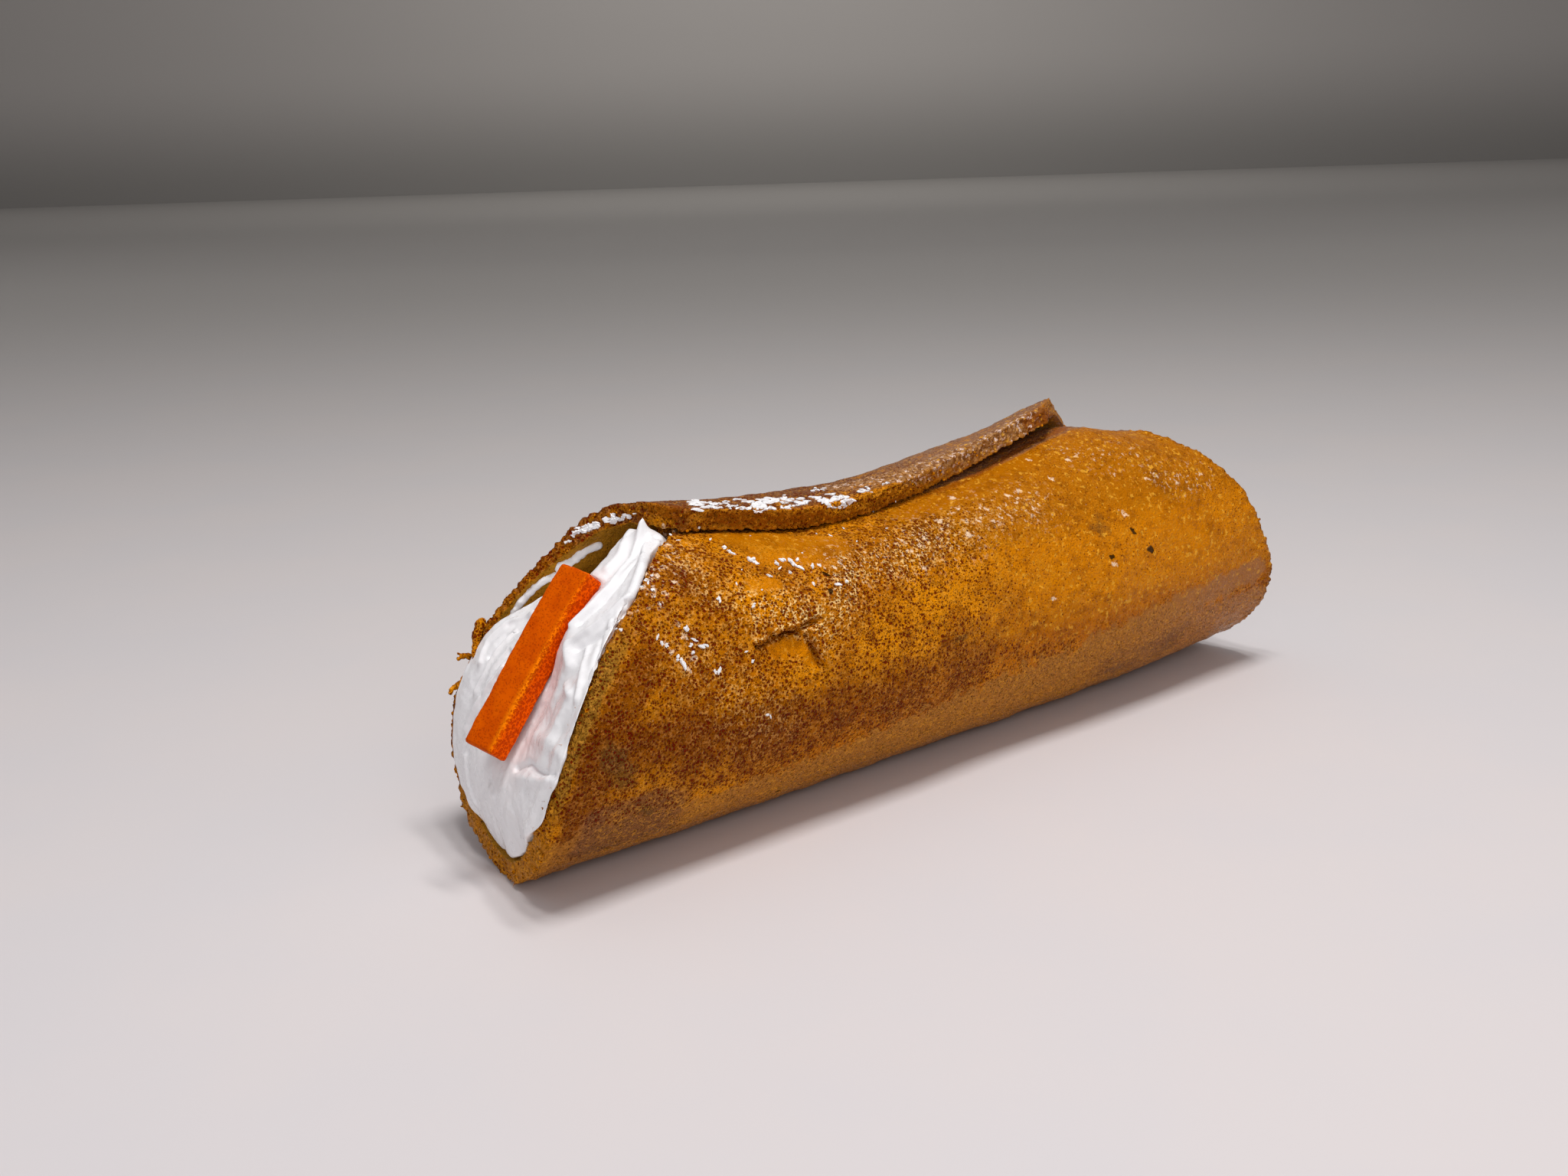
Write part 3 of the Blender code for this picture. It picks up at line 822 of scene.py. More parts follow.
BROWN, ORANGE, GOLD = (0.50, 0.148, 0.001), (0.78, 0.262, 0.0008), (0.66, 0.208, 0.0006)
RUST, STRAW, TOAST_AND_SHADE_BROWN = (0.27, 0.066, 0.0008), (0.68, 0.27, 0.010), (0.20, 0.044, 0.0005)
NEAR_GLAZE, FAR_GLAZE = (0.46, 0.175, 0.024), (0.43, 0.170, 0.055)
CROWN_SHADE_TINT, BELLY_SHADE_TINT = (0.70, 0.68, 0.60), (0.76, 0.64, 0.5)
MAUVE, OLIVE = (0.20, 0.075, 0.032), (0.15, 0.070, 0.014)
colour = blend(tree, spread(tree, patches, 0.38, 0.62), BROWN, ORANGE)
colour = blend(tree, gold, colour, GOLD)
blots = times(tree, spread(tree, small_patches, 0.50, 0.64), slope(tree, gold, -0.35, 1.0))
colour = daubed(colour, blots, 0.50, RUST)
colour = daubed(colour, spread(tree, small_patches, 0.46, 0.34), 0.30, STRAW)
# Toast, with the painted shade low on the front.
colour = daubed(colour, toast_and_shade, 0.80, TOAST_AND_SHADE_BROWN)
# Painted shade on the crown, under the flap and on the belly.
colour = with_painted_shade(colour, "crown_shade", 0.4, CROWN_SHADE_TINT)
colour = with_painted_shade(colour, "belly_shade", 0.5, BELLY_SHADE_TINT)
along_roll = node(tree, "ShaderNodeSeparateXYZ", Vector=place)
glaze_tint = blend(tree, spread(tree, along_roll, 0.030, 0.070), NEAR_GLAZE, FAR_GLAZE)
colour = daubed(colour, glaze, 0.85, glaze_tint)
colour = daubed(colour, mauve, 0.75, MAUVE)
colour = daubed(colour, olive, 0.70, OLIVE)
print("crust coats:", len(tree.nodes), "nodes")

# %% The lap, the flap, the lip and the inside
NEAR_LAP, FAR_LAP = (0.14, 0.036, 0.010), (0.26, 0.125, 0.070)
DARK_MOTTLE, PALE_MOTTLE = (0.20, 0.070, 0.018), (0.48, 0.24, 0.085)
BARE_FOAM, FLAP_SHADE_BROWN = (0.46, 0.16, 0.006), (0.27, 0.062, 0.001)
LIP_TAN, INSIDE_TAN = (0.34, 0.160, 0.018), (0.42, 0.19, 0.015)
lap_tint = blend(tree, spread(tree, along_roll, -0.030, 0.010), NEAR_LAP, FAR_LAP)
colour = daubed(colour, lap, 0.9, lap_tint)
bare = times(tree, painted(tree, "cut"), slope(tree, toast_and_shade, -0.85, 1.0))
colour = daubed(colour, bare, 0.6, BARE_FOAM)
mottle_tint = blend(tree, spread(tree, speck, 0.42, 0.58), DARK_MOTTLE, PALE_MOTTLE)
colour = daubed(colour, mottled, 0.75, mottle_tint)
# The flap's cut face, with its painted shade.
colour = daubed(colour, shaded_flap_face, 0.75, FLAP_SHADE_BROWN)
colour = daubed(colour, painted(tree, "lip"), 0.9, LIP_TAN)
colour = daubed(colour, painted(tree, "inside"), 0.9, INSIDE_TAN)
print("crust colours:", len(tree.nodes), "nodes")

# %% [markdown]
# ## Pores, glints and gloss of the crust
# Where the glaze and the gold paint are thick, they close most of the cells, and skin closes nearly
# all. Beside the holes stand the cell walls, which catch the light, and wet paint sparkles. A high
# gloss over the whole crust would veil its colour, so the bright spots are painted into the colour,
# and the gloss itself is low and golden.

# %% Where the pores are open
open_share = minus(tree, 1.0, times(tree, glaze, 0.50))
open_share = times(tree, open_share, minus(tree, 1.0, times(tree, gold, 0.45)))
open_share = times(tree, open_share, spread(tree, small_patches, 0.25, 0.6, 0.62, 1.0))
skin = larger(tree, border("skin", small_patches, 0.8, 0.2, 0.8),
              times(tree, painted(tree, "inside"), 0.9))
skin = larger(tree, skin, times(tree, larger(tree, shaded_flap_face, mottled), 0.55))
open_share = times(tree, open_share, minus(tree, 1.0, times(tree, skin, 0.9)))
bent = bent_place(tree, 0.4, 0.26)
coarse_foam = cells(tree, bent, 0.60)
fine_foam = cells(tree, bent, 0.36)
wide = pores(tree, coarse_foam, 0.06, 0.44, open_share)
fine = pores(tree, fine_foam, 0.04, 0.50, open_share)
print("crust pores:", len(tree.nodes), "nodes")

# %% Painted highlights on cell walls and blisters, painted shine, and powder
WALL_HIGHLIGHT, TOASTED_WALL_HIGHLIGHT, LIT_WALL = (0.88, 0.38, 0.03), (0.60, 0.24, 0.05), (1.0, 0.70, 0.30)
BLISTER_GLINT, SPARK, POWDER = (0.95, 0.46, 0.04), (1.0, 0.76, 0.54), (0.88, 0.66, 0.56)
quiet = slope(tree, gold, -0.65, 1.0)
# Painted highlight: the cell walls beside the holes, lit as if they caught the light.
lit_walls = spread(tree, fine_foam[0], 0.40, 0.60)
lit_walls = times(tree, lit_walls, spread(tree, grain(tree, bent, 0.7, 2.0), 0.46, 0.60))
lit_walls = times(tree, lit_walls, quiet)
lit_walls = times(tree, lit_walls, slope(tree, glints, 0.58, 0.42))
lit_walls = times(tree, lit_walls, minus(tree, 1.0, skin))
wall_highlight = blend(tree, glints, blend(tree, toast_and_shade, WALL_HIGHLIGHT, TOASTED_WALL_HIGHLIGHT), LIT_WALL)
colour = daubed(colour, lit_walls, 1.0, wall_highlight)
# Painted highlights: small glints on the blisters of the gold.
blister_glints = spread(tree, grain(tree, bent, 0.9, 2.0), 0.58, 0.68)
colour = daubed(colour, times(tree, blister_glints, gold), 0.60, BLISTER_GLINT)
# Painted highlights: shine spots, and sparkles on the wet places.
shine = slope(tree, grain(tree, bent, 0.55, 2.0), 2.2, painted(tree, "shine"))
shine = spread(tree, shine, 1.55, 2.0)
sparkle = times(tree, spread(tree, grain(tree, bent, 0.8), 0.585, 0.65), wet)
colour = daubed(colour, larger(tree, shine, sparkle), 0.80, SPARK)
powder = times(tree, spread(tree, grain(tree, bent, 0.7), 0.56, 0.63), mottled)
colour = daubed(colour, powder, 0.85, POWDER)
print("crust glints:", len(tree.nodes), "nodes")

# %% Rims with painted highlights, holes and pits
RIM_HIGHLIGHT, TOASTED_RIM_HIGHLIGHT = (0.80, 0.32, 0.02), (0.46, 0.13, 0.008)
HOLE, PIT = (0.15, 0.005, 0.0), (0.030, 0.012, 0.002)
# Painted highlight: a light ring round each open pore.
rim_highlights = larger(tree, spread(tree, wide, -0.17, -0.06),
              times(tree, spread(tree, fine, -0.16, -0.05), 0.7))
colour = daubed(colour, times(tree, rim_highlights, quiet), 0.24, blend(tree, toast_and_shade, RIM_HIGHLIGHT, TOASTED_RIM_HIGHLIGHT))
dark = larger(tree, spread(tree, wide, -0.02, 0.05), spread(tree, fine, -0.02, 0.06))
colour = daubed(colour, dark, 0.95, HOLE)
pits = spread(tree, slope(tree, speck, 0.5, painted(tree, "pits")), 0.65, 0.85)
colour = daubed(colour, pits, 0.95, PIT)
tree.links.new(colour, shader.inputs["Base Color"])
print("crust holes:", len(tree.nodes), "nodes")

# %% Gloss and relief
gloss = slope(tree, spread(tree, speck, 0.35, 0.65), 0.26, 0.12)
gloss = minus(tree, gloss, times(tree, wet, 0.08))
tree.links.new(slope(tree, dark, 0.35, gloss), shader.inputs["Roughness"])
dips = larger(tree, spread(tree, wide, -0.22, 0.10),
              times(tree, spread(tree, fine, -0.25, 0.10), 0.6))
crinkle = slope(tree, grain(tree, place, 1.3), slope(tree, wet, 2.0, 0.8), grain(tree, place, 0.40))
height = minus(tree, crinkle, slope(tree, dips, quiet, pits))
bump = node(tree, "ShaderNodeBump", Strength=1.0, Distance=0.34 * MM, Height=height)
tree.links.new(bump, shader.inputs["Normal"])
shader.inputs["Specular IOR Level"].default_value = 0.07
shader.inputs["Specular Tint"].default_value = (1.0, 0.58, 0.08, 1.0)
crust.data.materials.append(crust_finish)
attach(crust, "root")
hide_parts("shell")
print("crust finish:", len(tree.nodes), "nodes")

# %% [markdown]
# ## The peel
# A bar cut from finer foam, about as thick as a pencil. A box would do for its shape, but the solid
# already lies in its bed in the cream, so the copy is cut finer and its skin is roughened by two
# noises.

# %% The peel's shape
peel = merged_copy("peel_strip", "peel_bar")
refine(peel, lambda centres, normals: np.ones(len(centres), bool), cuts=3)
soften(peel)
rough_up(peel, "peel_waves", 3.0, 0.25)
rough_up(peel, "peel_cells", 0.5, 0.16)
print("peel:", in_numbers(peel))

# %% [markdown]
# ## The peel's finish
# The skin side is smoother and duller, the cut side shows a honeycomb of cells, and a painted
# highlight runs along the edge between them. The bar lies askew, so its points are first turned
# into its own axes. There the cut side and the edge are easy to tell apart, and are painted onto it
# as values.

# %% The peel's cut side and painted ridge highlight
PEEL_LEAN = 39.2
PEEL_TURN = 10.1
RIDGE = (-1.8, -2.9)
RIDGE_WIDTH = 0.45
peel_turn = (Matrix.Rotation(math.radians(PEEL_LEAN), 3, "Y")
             @ Matrix.Rotation(math.radians(PEEL_TURN), 3, "Z"))
own_axes = np.array(peel_turn.inverted())
own = (points(peel) - points(peel).mean(0)) @ own_axes.T
own_facing = points(peel, "normal") @ own_axes.T
from_ridge = (own[:, 0] - RIDGE[0]) ** 2 + (own[:, 1] - RIDGE[1]) ** 2
paint(peel, "cut_side", ease(-own_facing[:, 1], 0.35, 0.75))
# Painted highlight along the ridge between the two sides.
paint(peel, "ridge_highlight", np.exp(-from_ridge / RIDGE_WIDTH ** 2))
print("peel length in mm:", (own[:, 2].max() - own[:, 2].min()).round(1))

# %% The peel's finish
PEEL_DARK, PEEL_LIGHT = (0.58, 0.072, 0.0), (0.68, 0.098, 0.0)
PEEL_CUT, PEEL_EDGE_HIGHLIGHT, PEEL_HOLE = (1.0, 0.115, 0.0), (1.0, 0.27, 0.003), (0.50, 0.024, 0.0)
peel_finish, tree, shader = new_material("peel_foam_finish")
place = node(tree, "ShaderNodeTexCoord", out=3)
tint = grain(tree, place, 2.5)
cut_side = painted(tree, "cut_side")
colour = blend(tree, spread(tree, tint, 0.35, 0.65), PEEL_DARK, PEEL_LIGHT)
colour = blend(tree, cut_side, colour, PEEL_CUT)
# The painted highlight on the ridge.
colour = blend(tree, times(tree, painted(tree, "ridge_highlight"), 0.75), colour, PEEL_EDGE_HIGHLIGHT)
bent = bent_place(tree, 0.4, 0.16)
pits = pores(tree, cells(tree, bent, 0.42), 0.38, 0.58, slope(tree, cut_side, 0.70, 0.30))
pin_holes = pores(tree, cells(tree, bent, 0.32), 0.16, 0.50, slope(tree, cut_side, 0.15, 0.85))
holes = larger(tree, spread(tree, pits, -0.05, 0.10),
               times(tree, spread(tree, pin_holes, -0.05, 0.1), 0.7))
hole_share = times(tree, holes, slope(tree, cut_side, 0.20, 0.45))
colour = blend(tree, hole_share, colour, PEEL_HOLE)
tree.links.new(colour, shader.inputs["Base Color"])
shader.inputs["Roughness"].default_value = 0.5
shader.inputs["Specular IOR Level"].default_value = 0.03
shader.inputs["Specular Tint"].default_value = (1.0, 0.55, 0.12, 1.0)
bump = node(tree, "ShaderNodeBump", Strength=0.9, Distance=0.15 * MM,
            Height=minus(tree, tint, holes))
tree.links.new(bump, shader.inputs["Normal"])
peel.data.materials.append(peel_finish)
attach(peel, "root")
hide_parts("peel_strip")
print("peel finish:", len(tree.nodes), "nodes")

# %% [markdown]
# ## The cream
# A thick white paste, spread with a small spatula. Its folds run up beside the peel, it draws up
# to a peak under the flap and swells to a smooth dome at the bottom. It could be sculpted freely,
# but the solid already fits the roll and the peel. So the copy is cut fine in the near mouth and
# relaxed.

# %% The cream's shape
filling = merged_copy("cream", "cream_filling")
soften(filling)


def near_face(centres, normals):
    """Faces of the cream that the near mouth shows."""
    shown = (normals[:, 0] < -0.15) | (centres[:, 0] < -58.0) | (centres[:, 2] > 36)
    return (centres[:, 0] < -44.0) & shown


refine(filling, near_face)
refine(filling, near_face)
relax = filling.modifiers.new("relax", "SMOOTH")
relax.iterations = 4
apply_all(filling)
print("cream:", in_numbers(filling))

# %% [markdown]
# ## Folds of the cream
# The spatula left ridges with sharp crests and grooves beside them. Noise has no direction, so the
# folds are drawn as strokes over the picture: a lifted one for a ridge, a pressed one for a groove.
# At last the peak is drawn up, where the spatula was pulled away.

# %% Folds
rough_up(filling, "cream_waves", 5.0, 0.5)
STROKES = (
    (((790, 850), (765, 920), (740, 980), (716, 1022), (700, 1056), (688, 1086)), 0.9, 0.40),
    (((837, 681), (845, 715), (837, 744), (827, 772), (815, 796), (808, 810)), 0.55, 0.75),
    (((839, 699), (823, 734), (799, 765), (771, 793), (747, 817)), 0.5, 0.60),
    (((834, 727), (810, 761), (785, 789), (758, 813)), 0.4, -0.55),
    (((823, 695), (810, 723), (792, 744)), 0.6, 0.40),
    (((823, 779), (799, 803), (771, 824), (744, 841)), 0.55, 0.70),
    (((816, 803), (796, 820), (771, 838), (754, 848)), 0.45, -0.60),
    (((836, 681), (840, 690)), 0.9, 1.10), (((840, 683), (855, 695), (874, 700)), 0.5, 0.55),
    (((842, 692), (855, 704), (865, 709)), 0.35, -0.40),
    (((799, 813), (791, 848), (782, 883), (771, 917)), 0.5, 0.50),
    (((785, 834), (777, 869), (768, 903), (763, 935)), 0.45, -0.45),
    (((768, 848), (761, 879), (754, 914)), 0.55, 0.50),
    (((740, 848), (744, 869)), 0.9, 0.55), (((740, 896), (744, 907)), 0.6, 0.50),
    (((674, 1004), (690, 997), (706, 1011), (723, 1013), (740, 1002)), 0.5, -0.55),
    (((678, 1016), (699, 1021), (723, 1021), (740, 1013)), 0.8, 0.45),
    (((699, 962), (723, 973), (733, 987)), 1.2, 0.40),
    (((697, 801), (664, 813), (638, 838), (628, 865)), 0.5, 0.50),
    (((692, 813), (661, 831), (640, 858)), 0.4, -0.50),
    (((674, 827), (650, 851), (635, 879), (622, 903)), 0.45, 0.50),
    (((664, 851), (643, 879), (629, 907)), 0.4, -0.45),
    (((657, 872), (636, 900), (619, 928), (609, 952)), 0.45, 0.45),
    (((629, 928), (615, 952), (605, 983)), 0.4, -0.35),
    (((609, 987), (612, 1021), (622, 1049)), 0.5, 0.35),
    (((640, 1032), (645, 1039)), 0.7, 0.30), (((664, 1056), (669, 1061)), 0.8, 0.25),
)
for line, width, height in STROKES:
    stroke(filling, line, width, height)
rough_up(filling, "cream_nicks", 1.6, 0.22)
print("cream strokes:", len(STROKES))

# %% The peak
PEAK = (840, 697)
PEAK_REACH = 1.1
PEAK_HEIGHT = 2.6
peak = np.array(drop(filling, *PEAK)[0]) / MM
where = points(filling)
tip = np.exp(-np.linalg.norm(where - peak, axis=1) / PEAK_REACH)
put_points(filling, where + tip[:, None] * [0.0, 0.0, PEAK_HEIGHT])
print("peak drawn up at", peak.round(1), "mm")

# %% [markdown]
# ## The cream's finish
# The paste is a cool, clean white with a soft gloss that is uneven where the spatula dragged. Light
# that wanders inside it would wash out the fine folds, so the colour stays on the surface, and two
# noises vary the gloss and the bump.

# %% The cream's finish
CREAM_SHADE, CREAM_WHITE = (0.85, 0.84, 0.855), (0.89, 0.88, 0.89)
cream_finish, tree, shader = new_material("whipped_cream_finish")
place = node(tree, "ShaderNodeTexCoord", out=3)
cloud = grain(tree, place, 6.0)
colour = blend(tree, spread(tree, cloud, 0.3, 0.7), CREAM_SHADE, CREAM_WHITE)
tree.links.new(colour, shader.inputs["Base Color"])
gloss = spread(tree, grain(tree, place, 1.5), 0.3, 0.7, 0.24, 0.42)
tree.links.new(gloss, shader.inputs["Roughness"])
bump = node(tree, "ShaderNodeBump", Strength=0.5, Distance=0.10 * MM,
            Height=grain(tree, place, 2.2, 2.0))
tree.links.new(bump, shader.inputs["Normal"])
filling.data.materials.append(cream_finish)
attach(filling, "root")
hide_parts("cream")
print("cream finish:", len(tree.nodes), "nodes")


# %% [markdown]
# ## Cream wiped on the inside
# Inside the near mouth the spatula left a few thick strings of cream on the foam. A curve with a
# round profile would look like a cord. Flat balls are strung along each line instead, a little
# uneven in size, and a voxel remesh melts them into one body with a ragged outline.

# %% Balls
PICTURE_MM = 0.13
BALL_STEP = 0.22


def flat_ball(place, normal, size, height, draw):
    """A ball flattened to height, lying on a face; sizes in millimetres."""
    bpy.ops.mesh.primitive_ico_sphere_add(subdivisions=2, radius=size * MM, location=place,
                                          rotation=normal.to_track_quat("Z", "Y").to_euler())
    ball = bpy.context.object
    ball.scale = (draw.uniform(0.8, 1.25), draw.uniform(0.8, 1.25), height / size)
    return ball


def strung_balls(carrier, lines, seed):
    """Balls along picture lines, each flat on the piece below it: ((points), width, height)."""
    draw = random.Random(seed)
    bpy.context.view_layer.update()
    balls = []
    for line, width, height in lines:
        for start, end in zip(line[:-1], line[1:]):
            length = math.dist(start, end) * PICTURE_MM
            for index in range(max(2, int(length / (width * BALL_STEP)))):
                share = index * width * BALL_STEP / length
                spot = [a + (b - a) * share for a, b in zip(start, end)]
                place, normal = drop(carrier, *spot)
                if place is not None:
                    size = width * draw.uniform(0.46, 0.54)
                    balls.append(flat_ball(place, normal, size, height, draw))
    return balls


print("ball helpers ready")

# %% Joining and melting
VOXEL = 0.14


def joined(parts, name):
    """Join the parts into one piece at the origin."""
    bpy.ops.object.select_all(action="DESELECT")
    for part in parts:
        part.select_set(True)
    bpy.context.view_layer.objects.active = parts[0]
    bpy.ops.object.join()
    made = bpy.context.object
    made.name = made.data.name = name
    bpy.ops.object.transform_apply(location=True, rotation=True, scale=True)
    return made


def melt(piece, times_softened):
    """Fuse a piece's parts into one skin and round it."""
    remesh = piece.modifiers.new("melt", "REMESH")
    remesh.mode = "VOXEL"
    remesh.voxel_size = VOXEL * MM
    relax = piece.modifiers.new("relax", "SMOOTH")
    relax.iterations = times_softened
    apply_all(piece)
    bpy.ops.object.shade_smooth()


print("melting helpers ready")

# %% Wiped cream
WIPED = (
    (((731, 741), (750, 730), (766, 718), (785, 711)), 1.6, 0.60),
    (((733, 741), (742, 736)), 1.0, 0.6),
    (((671, 799), (684, 782), (700, 766), (712, 757), (726, 751)), 1.2, 0.50),
    (((640, 838), (655, 818), (668, 803)), 0.5, 0.35),
)
wiped = joined(strung_balls(crust, WIPED, 11), "wiped_cream")
melt(wiped, 3)
wiped.data.materials.append(cream_finish)
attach(wiped, "root")
print("wiped cream:", in_numbers(wiped))


# %% [markdown]
# ## Scabs of dried cream
# Along the flap and the rear rim wiped cream has dried and cracked into thin white scabs. Melted
# balls come out too thick and round for that. Each scab is a scatter of thin flakes with broken
# outlines that lie on the crust, tilted a little, so that some corners stand up.

# %% Flakes
FLAKE_THICK = 0.16
FLAKE_LIFT = 0.08
FLAKE_TILT = 0.25
FLAKES_PER_MM = 5.0
STEP_AHEAD = 6


def flake(long, wide, draw):
    """A thin flake with a broken outline; sizes in millimetres."""
    bpy.ops.mesh.primitive_cylinder_add(vertices=9, radius=1.0, depth=FLAKE_THICK * MM)
    made = bpy.context.object
    corners = list(made.data.vertices)
    for low_corner, top_corner in zip(corners[0::2], corners[1::2]):
        reach = draw.uniform(0.45, 1.2)
        for corner, share in ((low_corner, 1.0), (top_corner, 0.8)):
            corner.co.x *= long * reach * share * MM
            corner.co.y *= wide * reach * share * MM
    return made


def strung_flakes(carrier, lines, seed):
    """Flakes along picture lines, lying on the piece below: ((points), width)."""
    draw = random.Random(seed)
    flakes = []
    for (start, end), width in lines:
        length = math.dist(start, end) * PICTURE_MM
        for index in range(max(4, int(length * FLAKES_PER_MM))):
            share = draw.random()
            spot = [a + (b - a) * share + draw.gauss(0.0, width * 1.6) for a, b in zip(start, end)]
            place, normal = drop(carrier, *spot)
            ahead = drop(carrier, spot[0] + STEP_AHEAD, spot[1])[0]
            if place is None or ahead is None:
                continue
            tilt = Vector([draw.uniform(-FLAKE_TILT, FLAKE_TILT) for axis in range(3)])
            lean = (normal + tilt).normalized()
            first = ahead - place
            first = (first - lean * first.dot(lean)).normalized()
            turned = Matrix((first, lean.cross(first), lean)).transposed().to_4x4()
            size = width * draw.uniform(0.25, 0.55)
            made = flake(size * draw.uniform(0.9, 1.6), size * draw.uniform(0.5, 0.9), draw)
            made.matrix_world = Matrix.Translation(place + lean * FLAKE_LIFT * MM) @ turned
            flakes.append(made)
    return flakes


print("flake helpers ready")

# %% Scabs
SCABS = (
    (((904, 655), (911, 670)), 1.7), (((909, 655), (922, 660)), 1.4),
    (((924, 660), (950, 658)), 1.3), (((950, 661), (976, 665)), 0.8),
    (((960, 652), (975, 655)), 0.9), (((978, 658), (1012, 657)), 1.9),
    (((985, 668), (1012, 664)), 0.8), (((1018, 652), (1052, 658)), 1.3),
    (((1020, 664), (1040, 661)), 0.8), (((1058, 652), (1082, 656)), 1.4),
    (((1084, 648), (1112, 655)), 1.6), (((1086, 662), (1104, 660)), 0.8),
    (((1060, 641), (1078, 638)), 0.7), (((1124, 642), (1137, 640)), 1.0),
    (((1150, 634), (1160, 631)), 0.5), (((748, 697), (782, 686)), 1.3),
    (((760, 692), (775, 690)), 1.2), (((790, 681), (808, 674)), 1.3),
    (((806, 678), (828, 672)), 0.9), (((735, 712), (748, 706)), 0.6),
    (((797, 820), (812, 822)), 0.7),
)
scabs = joined(strung_flakes(crust, SCABS, 12), "cream_scabs")
scabs.data.materials.append(cream_finish)
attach(scabs, "root")
print("scabs:", in_numbers(scabs))


# %% [markdown]
# ## Torn bits of the rim
# On the far side of this mouth the foam is torn, and crooked crumbs hang off its edge. They stand
# free, so they can't be dropped onto a face. Each ball is set on the line of sight of its point
# instead, as far away as the nearest part of the rim, and the balls are melted as before.

# %% Hanging balls
BALLS_PER_STRETCH = 8


def hung_balls(lines, seed, forward):
    """Balls along picture lines, as far off as the rim nearest to each start: ((points), width)."""
    draw = random.Random(seed)
    torn_edge = [list(v.co) for v, weight in zip(crust.data.vertices, rim) if weight > 0.9]
    balls = []
    for line, width in lines:
        start, way = picture_ray(*line[0])
        offset = np.array(torn_edge) - np.array(start)
        depth = offset @ np.array(way)
        nearest = np.linalg.norm(offset - depth[:, None] * np.array(way), axis=1).argmin()
        steps = [(a, b, ball / BALLS_PER_STRETCH) for a, b in zip(line[:-1], line[1:])
                 for ball in range(BALLS_PER_STRETCH)]
        for index, (a, b, share) in enumerate(steps):
            spot = [a[axis] + (b[axis] - a[axis]) * share for axis in (0, 1)]
            start, way = picture_ray(*spot)
            place = start + way * (depth[nearest] - forward * MM * index / len(steps))
            size = width * draw.uniform(0.35, 0.6) * (1.0 - 0.45 * index / len(steps))
            lean = Vector((draw.uniform(-1, 1), draw.uniform(-1, 1), 1.0))
            balls.append(flat_ball(place, lean, size, size, draw))
    return balls


print("hanging helper ready")

# %% Torn bits of the rim
TORN = (
    (((629, 812), (623, 828), (621, 846), (620, 864)), 1.5),
    (((619, 866), (613, 880), (606, 892), (602, 908)), 1.4),
    (((625, 862), (615, 858), (606, 856), (598, 861)), 1.1),
    (((620, 862), (614, 872), (612, 882)), 1.0), (((606, 857), (597, 853)), 0.6),
    (((612, 878), (605, 886), (602, 893)), 0.9),
    (((603, 893), (596, 896), (590, 900), (588, 906)), 1.0), (((600, 896), (599, 905)), 0.5),
)
torn = joined(hung_balls(TORN, 3, 2.0), "torn_crumbs")
melt(torn, 1)
rough_up(torn, "torn_lumps", 0.5, 0.25)
torn.data.materials.append(crust_finish)
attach(torn, "root")
print("torn bits:", in_numbers(torn))


# %% [markdown]
# ## Flecks of cream
# White flecks lie on the front of the crust, each where the picture shows it. Five of them are made
# from three flakes each, then copied many times at different sizes and turns, and the copies are
# joined, because one fleck repeated would soon be noticed.

# %% Copies and ragged flecks
def copies_of(originals, spots):
    """Copies of a few small pieces at many spots: (place, normal, size)."""
    draw = random.Random(len(spots))
    copies = []
    for index, (place, normal, size) in enumerate(spots):
        copy = originals[index % len(originals)].copy()
        copy.data = copy.data.copy()
        bpy.context.scene.collection.objects.link(copy)
        copy.location = place
        spin = Matrix.Rotation(draw.uniform(0.0, math.tau), 4, "Z")
        stand = normal.to_track_quat("Z", "Y").to_matrix().to_4x4()
        copy.rotation_euler = (stand @ spin).to_euler()
        copy.scale = [size * draw.uniform(0.75, 1.25) for axis in range(3)]
        copies.append(copy)
    for original in originals:
        bpy.data.objects.remove(original, do_unlink=True)
    return copies


def ragged_fleck(seed):
    """A broken fleck about a millimetre across: a few flakes that lie over each other."""
    draw = random.Random(seed)
    flakes = []
    for index in range(3):
        size = draw.uniform(0.22, 0.40)
        made = flake(size * 1.4, size * 0.7, draw)
        layer = 0.05 + 0.05 * index
        made.location = Vector((draw.gauss(0.0, 0.25), draw.gauss(0.0, 0.12), layer)) * MM
        made.rotation_euler = [draw.uniform(-tilt, tilt) for tilt in (0.2, 0.2, 0.6)]
        flakes.append(made)
    return joined(flakes, "fleck_%d" % seed)


FLECK_KINDS = 5
originals = [ragged_fleck(seed) for seed in range(FLECK_KINDS)]
print("kinds of fleck:", len(originals))

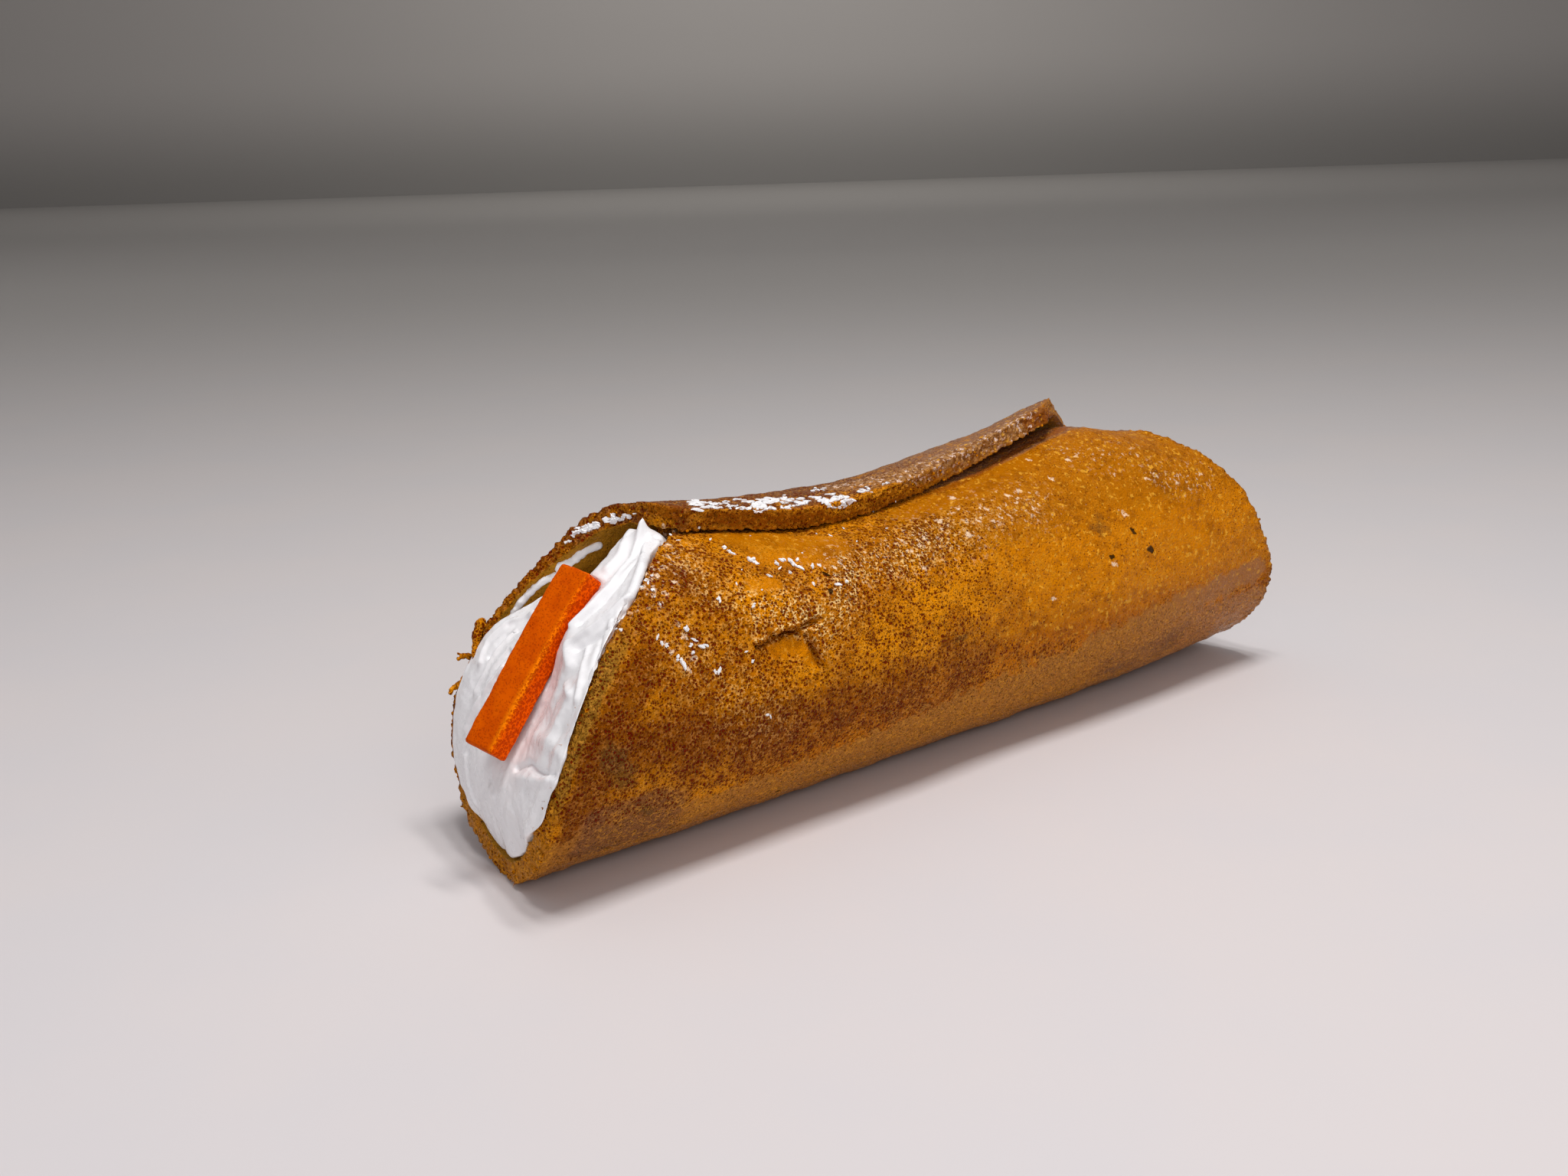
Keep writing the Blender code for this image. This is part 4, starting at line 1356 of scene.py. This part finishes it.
# %% Flecks of cream
FLECKS = (
    (948, 715, 1.0), (956, 723, 1.1), (982, 733, 1.5), (986, 735, 0.8), (1022, 731, 1.0),
    (1016, 738, 0.9), (1019, 742, 0.7), (1034, 734, 1.6), (1039, 733, 1.2), (1043, 741, 1.0),
    (1033, 749, 1.0), (1061, 739, 1.1), (1070, 739, 0.8), (1062, 760, 0.9), (1094, 764, 1.0),
    (1104, 759, 0.8), (1004, 752, 0.8), (940, 783, 0.9), (936, 781, 0.6), (984, 790, 0.8),
    (897, 824, 1.4), (906, 835, 0.8), (903, 843, 0.8), (907, 852, 1.0), (919, 843, 1.0),
    (864, 838, 0.9), (858, 833, 0.8), (870, 843, 0.7), (883, 859, 0.9), (891, 867, 1.1),
    (886, 862, 0.7), (940, 875, 0.9), (934, 878, 0.6), (1000, 933, 0.9), (1006, 936, 0.5),
    (982, 865, 0.7), (975, 851, 0.6), (953, 720, 0.5), (968, 745, 0.4), (928, 705, 0.5),
    (1048, 722, 0.5), (1085, 700, 0.6), (1102, 690, 0.5), (1120, 707, 0.5), (1158, 690, 0.4),
    (850, 752, 0.8), (846, 762, 0.7), (852, 770, 0.6), (856, 779, 0.5), (838, 766, 0.5),
    (862, 790, 0.5), (980, 700, 0.4), (1140, 668, 0.4), (1170, 655, 0.4), (843, 757, 0.6),
    (1066, 697, 0.5), (962, 762, 0.5), (995, 770, 0.4), (876, 700, 0.6), (886, 706, 0.5),
    (912, 690, 0.6),
)
bpy.context.view_layer.update()
spots = [(*drop(crust, across, down), size) for across, down, size in FLECKS]
flecks = joined(copies_of(originals, spots), "cream_flecks")
flecks.data.materials.append(cream_finish)
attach(flecks, "root")
print("flecks:", len(FLECKS), "with", in_numbers(flecks))

# %% [markdown]
# ## Crumbs and fibres on the cut edges
# Where the foam was cut, crumbs cling to it and short fibres stick out. Both could be grown as hair
# from the edge, but hair is lost when the part is handed on as a mesh. One crumb and one fibre are
# modelled with few faces and copied to points of the edge that are drawn by lot.

# %% Crumbs
CRUMBS = 240
CRUMB_RADIUS = 0.5
draw = random.Random(5)
edge_spots = [v for v, weight in zip(crust.data.vertices, rim) if weight > 0.99]
bpy.ops.mesh.primitive_ico_sphere_add(subdivisions=1, radius=CRUMB_RADIUS * MM)
crumb = bpy.context.object
rough_up(crumb, "crumb_lumps", 0.4, 0.5)
spots = [(v.co.copy(), v.normal.copy(), draw.uniform(0.2, 0.65))
         for v in draw.sample(edge_spots, CRUMBS)]
crumbs = joined(copies_of([crumb], spots), "crust_crumbs")
bpy.ops.object.shade_smooth()
crumbs.data.materials.append(crust_finish)
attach(crumbs, "root")
print("crumbs:", len(spots), "with", in_numbers(crumbs))

# %% Fibres
FIBRES = 160
FIBRE_FOOT, FIBRE_TIP, FIBRE_LENGTH = 0.06, 0.012, 1.0
bpy.ops.mesh.primitive_cone_add(vertices=5, radius1=FIBRE_FOOT * MM, radius2=FIBRE_TIP * MM,
                                depth=FIBRE_LENGTH * MM, location=(0.0, 0.0, 0.4 * MM))
fibre = bpy.context.object
bpy.ops.object.transform_apply(location=True, rotation=True, scale=True)
spots = []
for v in draw.sample(edge_spots, FIBRES):
    lean = Vector([draw.uniform(-1, 1) for axis in range(3)])
    spots.append((v.co.copy(), (v.normal + lean * 0.7).normalized(), draw.uniform(0.35, 0.9)))
fibres = joined(copies_of([fibre], spots), "foam_fibres")
fibres.data.materials.append(crust_finish)
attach(fibres, "root")
print("fibres:", len(spots), "with", in_numbers(fibres))
